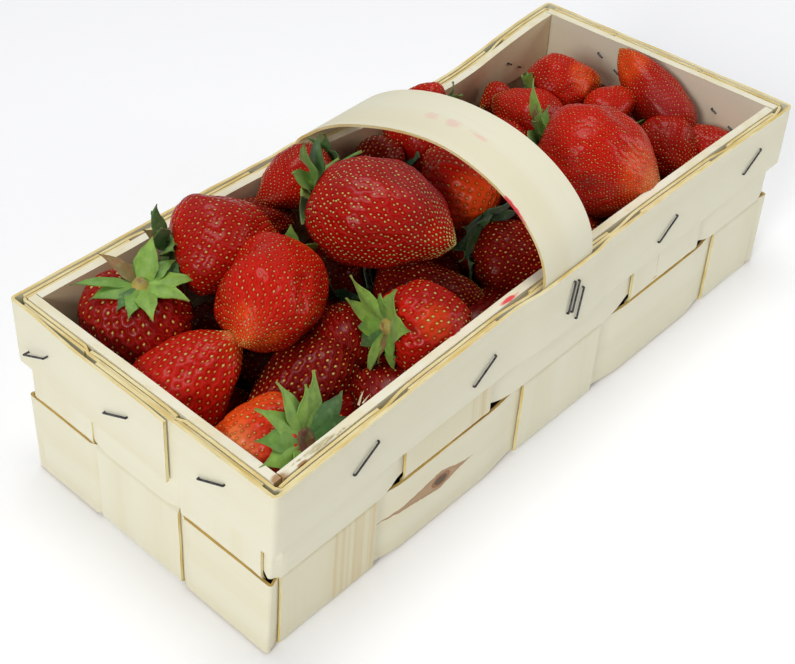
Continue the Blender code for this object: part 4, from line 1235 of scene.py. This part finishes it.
# berry: leaves as (angle round the calyx, reach, rise of the tip, width, arch, shade, roll)
LEAVES = {
    "b01": [(-38, 21, 1, 4.5, 3, FRESH), (-20, 16, -2, 8, 3, FRESH), (12, 12, -2, 6.5, 3, SHADED),
            (33, 14, -1, 7, 3, FRESH), (62, 15, 0, 8, 3, LIGHT), (118, 16, 0, 8, 3, LIGHT),
            (147, 18, 0, 8, 3, LIGHT), (178, 14, 2, 6.5, 3, FRESH), (-150, 11, 11, 9.5, 1, LIGHT, 15),
            (-100, 11, 1, 5, 2, DRIED), (-74, 15, 5, 4.5, 4, DRIED, 40)],
    "b02": [(-120, 14, 4, 8, 4, SHADED, 60), (-100, 8, 9, 5, 1, DRIED, 50), (-150, 13, 1, 8, 3, FRESH, 60),
            (170, 15, -1, 8, 3, SHADED, 50), (135, 16, -3, 8, 3, SHADED, 60), (105, 16, -2, 7, 3, FRESH, 60),
            (60, 13, -3, 7, 2, SHADED), (20, 13, 1, 7, 3, SHADED), (-20, 13, 4, 7, 3, SHADED),
            (-75, 14, 4, 7, 4, SHADED, 50)],
    "b05": [(-104, 20, 6, 10, 3, FRESH, -62), (-84, 20, 3, 9, 3, SHADED, -55),
            (-30, 12, -2, 8, 3, LIGHT, -50), (-10, 22, -6, 8, 4, FRESH, -40),
            (-135, 16, 6, 8, 3, LIGHT, -40), (-158, 13, 1, 7, 3, LIGHT, -40),
            (165, 16, -2, 9, 3, SHADED, -40), (120, 15, -4, 7, 3, SHADED), (75, 15, -4, 7, 3, SHADED),
            (35, 16, -4, 7, 3, SHADED), (-60, 15, 5, 8, 2, SHADED, -55)],
    "b09": [(-97, 20, 0, 8, 3, LIGHT), (-121, 16, 4, 8, 2, LIGHT), (-146, 21, 1, 9, 3, LIGHT),
            (180, 22, 2, 8, 4, SHADED), (-72, 19, -4, 8, 3, LIGHT), (-45, 18, -4, 9, 3, FRESH),
            (-20, 18, -4, 9, 3, LIGHT), (160, 20, 2, 7, 4, SHADED), (140, 17, 2, 7, 3, SHADED),
            (105, 13, 0, 8, 2, FRESH), (60, 11, 1, 8, 2, LIGHT), (15, 12, 0, 8, 2, LIGHT)],
    "b11": [(-14, 21, 5, 6.5, 3, LIGHT), (14, 22, 3, 6.5, 3, LIGHT), (-82, 13, 1, 9.5, 3, LIGHT),
            (-148, 15, 1, 9.5, 3, LIGHT), (122, 15, -4, 7, 2, LIGHT), (97, 20, 1, 6, 3, LIGHT),
            (60, 16, 1, 8.5, 3, SHADED), (150, 12, 0, 6, 2, FRESH), (112, 12, 1, 5, 2, DRIED),
            (35, 14, 2, 8, 3, FRESH), (-45, 10, 2, 7, 2, FRESH)],
    "b13": [(25, 15, 3, 11, 5, SHADE_GREEN_DEEP), (60, 17, 4, 12, 6, SHADED), (100, 20, 3, 12, 6, SHADE_GREEN_DEEP),
            (140, 17, 2, 11, 5, SHADE_GREEN_DEEP), (118, 17, 3, 4, 3, STRAW), (-60, 9, 5, 7, 2, SHADE_GREEN_DEEP),
            (-22, 13, 3, 8, 3, SHADE_GREEN_DEEP), (180, 15, 1, 9, 4, SHADE_GREEN_DEEP), (-130, 14, 2, 9, 3, SHADE_GREEN_DEEP)],
    "b17": [(-52, 20, 11, 6, 3, LIGHT, -45), (-66, 12, 7, 6, 2, DRIED, -40), (-20, 16, 2, 7, 3, FRESH, -40),
            (-90, 13, 4, 9, 2, LIGHT, -50), (135, 7, 5, 7, 1, FRESH), (10, 13, 3, 7, 2, FRESH),
            (60, 14, 2, 7, 3, SHADED), (-120, 14, 4, 9, 3, FRESH, -50), (-150, 14, 4, 9, 3, LIGHT, -50),
            (175, 13, 4, 8, 3, FRESH, -40)],
    "b19": [(-5, 8, 0, 4, 1, FRESH), (-98, 7, 1, 4, 1, LIGHT, -40), (-60, 6, 1, 4, 1, FRESH, -40),
            (60, 9, 0, 4, 2, SHADED), (130, 9, 0, 4, 2, SHADED), (-150, 7, 1, 4, 1, FRESH)],
    "b16": [(-44, 13, 1, 5, 2, FRESH, 30), (-116, 9, 1, 5, 2, SHADED), (-170, 8, 4, 5, 1, FRESH),
            (30, 9, 0, 5, 2, SHADED), (110, 9, 0, 5, 2, SHADED)],
    "b07": [(-100, 10, 6, 7, 1, FRESH, -30), (-33, 11, 4, 7, 2, FRESH, -30), (-150, 12, 1, 7, 2, FRESH),
            (30, 12, -1, 7, 2, SHADED), (90, 13, -2, 7, 2, SHADED), (150, 13, -2, 7, 2, SHADED)],
    "b15": [(-90, 12, 3, 8, 2, SHADE_GREEN_DEEP, 30), (-30, 13, 1, 8, 2, SHADE_GREEN_DEEP, 30), (-150, 13, 1, 8, 3, SHADE_GREEN_DEEP, 30),
            (160, 11, -1, 7, 2, SHADE_GREEN_DEEP), (30, 12, -1, 7, 2, SHADE_GREEN_DEEP), (90, 10, -2, 6, 2, SHADED)],
    "b10": [(-70, 14, 3, 7, 3, SHADE_GREEN_DEEP, 30), (-120, 16, 3, 8, 3, SHADE_GREEN_DEEP, 30), (-20, 13, 2, 7, 3, SHADE_GREEN_DEEP),
            (170, 13, 1, 7, 2, SHADE_GREEN_DEEP), (120, 12, -2, 6, 2, SHADED), (40, 12, 0, 6, 2, SHADED)],
    "b14": [(-90, 12, 2, 6, 3, SHADED), (-140, 13, 0, 6, 3, SHADED), (-40, 12, 0, 6, 3, SHADED),
            (160, 12, 0, 6, 3, SHADED), (20, 12, 0, 6, 2, SHADED)],
    "b12": [(-90, 13, 2, 8, 2, SHADE_GREEN_DEEP), (-140, 13, 1, 8, 2, SHADE_GREEN_DEEP), (-35, 13, 1, 8, 2, SHADE_GREEN_DEEP),
            (160, 12, 0, 6, 2, SHADED)],
    "b25": [(-90, 13, 3, 8, 3, SHADE_GREEN_DEEP, 40), (-150, 13, 3, 8, 3, SHADE_GREEN_DEEP, 40), (-30, 13, 3, 8, 3, SHADE_GREEN_DEEP, 40)],
    "b23": [(-90, 9, 1, 5, 2, FRESH), (-30, 9, 0, 5, 2, FRESH), (-150, 9, 0, 5, 2, FRESH)],
    "b04": [(-90, 10, 1, 5, 2, SHADED), (-30, 9, 0, 5, 2, SHADED), (-150, 9, 0, 5, 2, SHADED)],
}
LEAF_START = {"b09": 3.4}

# berry: outline of the middle of the calyx as (radius, height) pairs, and its shade
CENTRES = {
    "b01": ([(4.2, -0.6), (3.4, 0.8), (2.2, 1.6), (1.5, 2.6), (0.9, 2.8), (0.01, 2.5)], STRAW),
    "b02": ([(4.0, -0.5), (2.6, 0.9), (1.4, 2.4), (0.01, 2.6)], SHADED),
    "b05": ([(4.5, -0.5), (2.8, 0.9), (1.6, 3.0), (1.2, 6.0), (0.01, 6.2)], FRESH),
    "b07": ([(4.0, -0.5), (2.2, 0.8), (0.01, 1.2)], FRESH),
    "b09": ([(4.6, 0.2), (4.0, 1.1), (3.2, 1.2), (2.4, 0.8), (1.2, 0.5), (0.01, 0.4)], BROWN),
    "b11": ([(4.6, -0.5), (3.4, 0.9), (2.2, 1.9), (1.3, 2.6), (0.01, 2.2)], STRAW),
    "b13": ([(4.2, -0.5), (2.6, 0.9), (1.4, 2.6), (0.01, 3.0)], SHADED),
    "b17": ([(5.0, -0.5), (3.0, 0.9), (1.6, 2.6), (1.2, 5.0), (0.01, 5.2)], LIGHT),
}


class Foliage:
    """Collects leaves and calyx middles, and makes one piece of them."""

    def __init__(self):
        self.points, self.faces, self.places, self.shades = [], [], [], []

    def sheet(self, grid, thickness, normals, shades, round_way=False):
        """A closed thin sheet from a grid of points, normals and shades, indexed [along][across]."""
        start, count, rows = len(self.points), len(grid), len(grid[0])
        half = count * rows
        for offset in (0.0, -thickness):
            for i in range(count):
                for k in range(rows):
                    self.points.append(grid[i][k] + normals[i][k] * offset)
                    self.shades.append((*shades[i][k], 1.0))
        for i in range(count - 1):
            for k in range(rows - 1):
                a = start + rows * i + k
                self.face((a, a + 1, a + rows + 1, a + rows), (i, k), count, rows)
                a += half
                self.face((a, a + rows, a + rows + 1, a + 1), (i, k), count, rows)
        rim = [(i, 0) for i in range(count)] + [(count - 1, k) for k in range(1, rows)]
        rim += [(i, rows - 1) for i in range(count - 2, -1, -1)] + [(0, k) for k in range(rows - 2, 0, -1)]
        for (i, k), (j, m) in zip(rim, rim[1:] + rim[:1]):
            a, b = start + rows * i + k, start + rows * j + m
            self.face((a, b, b + half, a + half), (i, k), count, rows)

    def face(self, corners, cell, count, rows):
        self.faces.append(corners)
        for _ in corners:
            self.places.append((cell[0] / (count - 1), 2.0 * (cell[1] + 0.5) / (rows - 1) - 1.0))

    def leaf(self, pose, start, seed, angle, reach, rise, width, arch, shade, roll=0.0):
        """A leaf whose middle line is a bow from the calyx to its tip, folded along the midrib."""
        angle = math.radians(angle)
        away = Vector((math.cos(angle), math.sin(angle), 0.0))
        aside = Vector((-math.sin(angle), math.cos(angle), 0.0))
        up = Vector((0.0, 0.0, 1.0))
        sway = 0.10 * reach * wobble((seed, 0.0, 0.0), 1.7)
        twist = 0.9 * wobble((0.0, seed, 0.0), 1.3)
        fold = 0.28 + 0.2 * wobble((0.0, 0.0, seed), 1.1)
        grid, normals, shades = [], [], []
        for i in range(13):
            u = i / 12
            low, high = 2 * u * (1 - u), u * u
            centre = away * (start + low * 0.52 * (reach - start) + high * (reach - start))
            centre += up * (0.5 + low * (0.5 * rise + arch) + high * rise) + aside * sway * high
            climb = (1 - 2 * u) * 2 * (0.5 * rise + arch) + 2 * u * rise
            slope = away * (reach * (1.04 - 0.08 * u)) + up * climb
            normal = slope.normalized().cross(aside).normalized() * -1.0
            belly = 0.50 + 0.50 * math.sin(math.pi * min(u / 0.9, 1.0))
            half = max(0.5 * width * (1.0 - u ** 2.6) ** 1.05 * belly, 0.12)
            turn = twist * u * u + math.radians(roll) * smooth(u / 0.4)
            line, directions, row = [], [], []
            for k in range(7):
                v = k / 3 - 1.0
                across = aside * math.cos(turn) + normal * math.sin(turn)
                crease = normal * math.cos(turn) - aside * math.sin(turn)
                ripple = 0.35 * math.sin(9.0 * u + 5.0 * seed + 1.5 * v) * v * v * u
                place = centre + across * half * v * (1.0 + 0.05 * math.sin(23.0 * u + seed))
                place += crease * (half * (fold * abs(v) - 0.35 * v * v * u) + ripple)
                line.append(pose @ place)
                directions.append(pose.to_3x3() @ crease)
                tone = mix(shade, LIGHT, 0.35 * (1.0 - u) * (shade in (FRESH, LIGHT)))
                tone = mix(tone, DRIED, 0.55 * smooth((u - 0.86) / 0.14))
                row.append(mix(tone, SHADED, 0.3 * smooth(0.5 + wobble(place, 3.0, seed))))
            grid.append(line)
            normals.append(directions)
            shades.append(row)
        self.sheet(grid, 0.35, normals, shades)

    def middle(self, pose, outline, shade, seed):
        """The middle of a calyx, turned from its outline, with the ends of the cut stem."""
        grid, normals, shades = [], [], []
        for radius, height in outline:
            ring = [2 * math.pi * k / 14 for k in range(15)]
            places = [Vector((radius * math.cos(a), radius * math.sin(a), height)) for a in ring]
            places = [p * (1.0 + 0.12 * wobble(p, 2.0, seed)) for p in places]
            grid.append([pose @ p for p in places])
            normals.append([pose.to_3x3() @ Vector((0.0, 0.0, 1.0)) for _ in ring])
            inner = mix(shade, DRIED if shade is STRAW else shade, smooth((1.6 - radius) / 1.0))
            green = 0.0 if shade is BROWN else smooth((radius - 3.4) / 1.2)
            shades.append([mix(inner, FRESH, green) for _ in ring])
        self.sheet(grid, 0.4, normals, shades)

    def build(self, name, finish):
        mesh = bpy.data.meshes.new(name)
        mesh.from_pydata([p * MM for p in self.points], [], self.faces)
        layer = mesh.uv_layers.new(name="UVMap")
        layer.data.foreach_set("uv", np.array(self.places, dtype=np.float32).ravel())
        shades = mesh.attributes.new("leaf", "FLOAT_COLOR", "POINT")
        shades.data.foreach_set("color", np.array(self.shades, dtype=np.float32).ravel())
        mesh.materials.append(finish)
        turn_outward(mesh)
        mesh.shade_smooth()
        mesh.set_sharp_from_angle(angle=math.radians(60))
        return new_object(name, mesh)


def calyx_pose(berry):
    """Frame at the middle of a berry's calyx, with +Z away from the tip."""
    centre, (length, _, _), (heading, pitch) = BERRIES[berry][:3]
    turn = berry_turn(heading, pitch)
    return Matrix.Translation(Vector(centre) + turn.col[2] * 0.46 * length) @ turn.to_4x4()


def make_foliage(finish):
    foliage = Foliage()
    seed = 0.0
    for berry, leaves in LEAVES.items():
        pose = calyx_pose(berry)
        for leaf in leaves:
            seed += 1.31
            foliage.leaf(pose, LEAF_START.get(berry, 1.2), seed, *leaf)
        outline, shade = CENTRES.get(berry, CENTRES["b07"])
        foliage.middle(pose, outline, shade, seed)
    settle(foliage.build("calyx_leaves", finish), "strawberry", "berry_heap")


def make_core(finish):
    """Painted shade: a dark fill under the berries, up to an uneven top that stays below them."""
    columns, rows = spread(-126.0, 124.5, 6.0), spread(-46.5, 47.5, 6.0)
    top, bottom = [], []
    for x in columns:
        edge = bow("far", x)
        line = []
        for y in rows:
            height = 34.0 + 3.0 * wobble((x, y, 0.0), 17.0)
            line.append(Vector((x, y - edge * max(y / 47.5, 0.0), height)))
        top.append(line)
        bottom.append([Vector((p.x, p.y, 3.2)) for p in line])
    piece = build_veneer("shaded_core", top, bottom, columns, rows, (finish, finish))
    settle(piece, "strawberry", "berry_heap")


# ---------------------------------------------------------------- camera, light and floor

LENS = 63.65
CAMERA_AZIMUTH, CAMERA_ELEVATION, CAMERA_ROLL = -49.894, 41.639, 3.2706
CAMERA_DISTANCE = 535.8
CAMERA_TARGET = (-0.577, 15.67, 0.0)
WORLD_LIGHT = 0.27
FLOOR_GLOW = 0.10

# name, place, aim, size and power
LIGHTS = [
    ("key", (-1.15, -0.30, 0.72), (0.0, 0.0, 0.05), 0.35, 7.2),
    ("overhead", (0.10, 0.15, 1.40), (0.0, 0.0, 0.05), 0.70, 9.5),
    ("fill", (0.75, -0.60, 0.35), (0.13, -0.02, 0.04), 0.35, 1.7),
]


def make_camera():
    azimuth, elevation = math.radians(CAMERA_AZIMUTH), math.radians(CAMERA_ELEVATION)
    back = Vector((math.sin(azimuth) * math.cos(elevation), -math.cos(azimuth) * math.cos(elevation),
                   math.sin(elevation)))
    right = Vector((math.cos(azimuth), math.sin(azimuth), 0.0))
    turn = Matrix((right, back.cross(right), back)).transposed()
    roll = Matrix.Rotation(math.radians(CAMERA_ROLL), 3, "Z")
    data = bpy.data.cameras.new("studio_camera")
    data.lens = LENS
    data.sensor_width = 36.0
    camera = new_object("studio_camera", data)
    place = (Vector(CAMERA_TARGET) + back * CAMERA_DISTANCE) * MM
    camera.matrix_world = Matrix.Translation(place) @ (turn @ roll).to_4x4()
    bpy.context.scene.camera = camera


def make_light(name, place, aim, size, power, tint=(1.0, 1.0, 1.0)):
    data = bpy.data.lights.new(name, "AREA")
    data.size = size
    data.energy = power
    data.color = tint
    light = new_object(name, data)
    light.location = place
    light.rotation_euler = (Vector(aim) - Vector(place)).to_track_quat("-Z", "Y").to_euler()


def make_stage():
    mesh = bpy.data.meshes.new("floor")
    mesh.from_pydata([(-4, -4, 0), (4, -4, 0), (4, 4, 0), (-4, 4, 0)], [], [(0, 1, 2, 3)])
    material, tree, shader = new_finish("pale_floor", 0.9, 0.1)
    shader.inputs["Base Color"].default_value = colour(0.93, 0.93, 0.94)
    shader.inputs["Emission Color"].default_value = colour(0.97, 0.98, 1.0)
    shader.inputs["Emission Strength"].default_value = FLOOR_GLOW
    mesh.materials.append(material)
    floor = new_object("floor", mesh)
    floor.location.z = -0.0003
    world = bpy.data.worlds.new("studio")
    world.use_nodes = True
    world.node_tree.nodes["Background"].inputs["Color"].default_value = colour(0.96, 0.98, 1.0)
    world.node_tree.nodes["Background"].inputs["Strength"].default_value = WORLD_LIGHT
    scene = bpy.context.scene
    scene.world = world
    scene.view_settings.view_transform = "Standard"
    for name, place, aim, size, power in LIGHTS:
        make_light(name, place, aim, size, power)


def main():
    edge = edge_finish("veneer_edge")
    weaver_edge = edge_finish("weaver_edge", EDGE_GOLD, colour(0.52, 0.33, 0.09), 0.6, STAINS["weaver_edge"])
    cream_edge = edge_finish("batten_edge", EDGE_CREAM, EDGE_SOFT, 0.25, STAINS["batten_near"])
    handle_edge = edge_finish("handle_edge", EDGE_PALE, EDGE_GOLD, 0.4, STAINS["handle"])
    # painted reflection: the inner faces carry the berries' warm red light in their colour
    inner = veneer_finish("veneer_inner_reflection", VENEER_INNER_REFLECTION, VENEER_INNER_REFLECTION_DEEP)
    plain = veneer_finish("veneer_plain")
    strips = veneer_finish("veneer_strips", stains=STAINS["strips"])
    streaked = veneer_finish("veneer_streaked", streaks=0.50)
    knotted = veneer_finish("veneer_knotted", knot=True)
    make_camera()
    make_stage()
    make_strips(strips, streaked, edge, inner)
    make_weavers(knotted, plain, weaver_edge, edge, inner)
    make_rim_band(plain, edge)
    make_battens(veneer_finish("veneer_juiced", stains=STAINS["batten_near"]), plain, cream_edge, inner)
    make_handle(veneer_finish("veneer_handle", stains=STAINS["handle"]), handle_edge)
    make_splinters(plain_finish("raw_chip", colour(0.74, 0.66, 0.46), colour(0.50, 0.40, 0.22), 0.7, 300.0))
    steel, worn_steel = colour(0.050, 0.050, 0.055), colour(0.12, 0.12, 0.125)
    make_staples(plain_finish("staple_wire", steel, worn_steel, 0.42, 900.0, 0.5, 0.9))
    make_berries(skin_finish(), seed_finish())
    make_foliage(leaf_finish())
    make_core(plain_finish("deep_shade", colour(0.03, 0.004, 0.003), colour(0.012, 0.002, 0.002), 0.8, 90.0))


main()
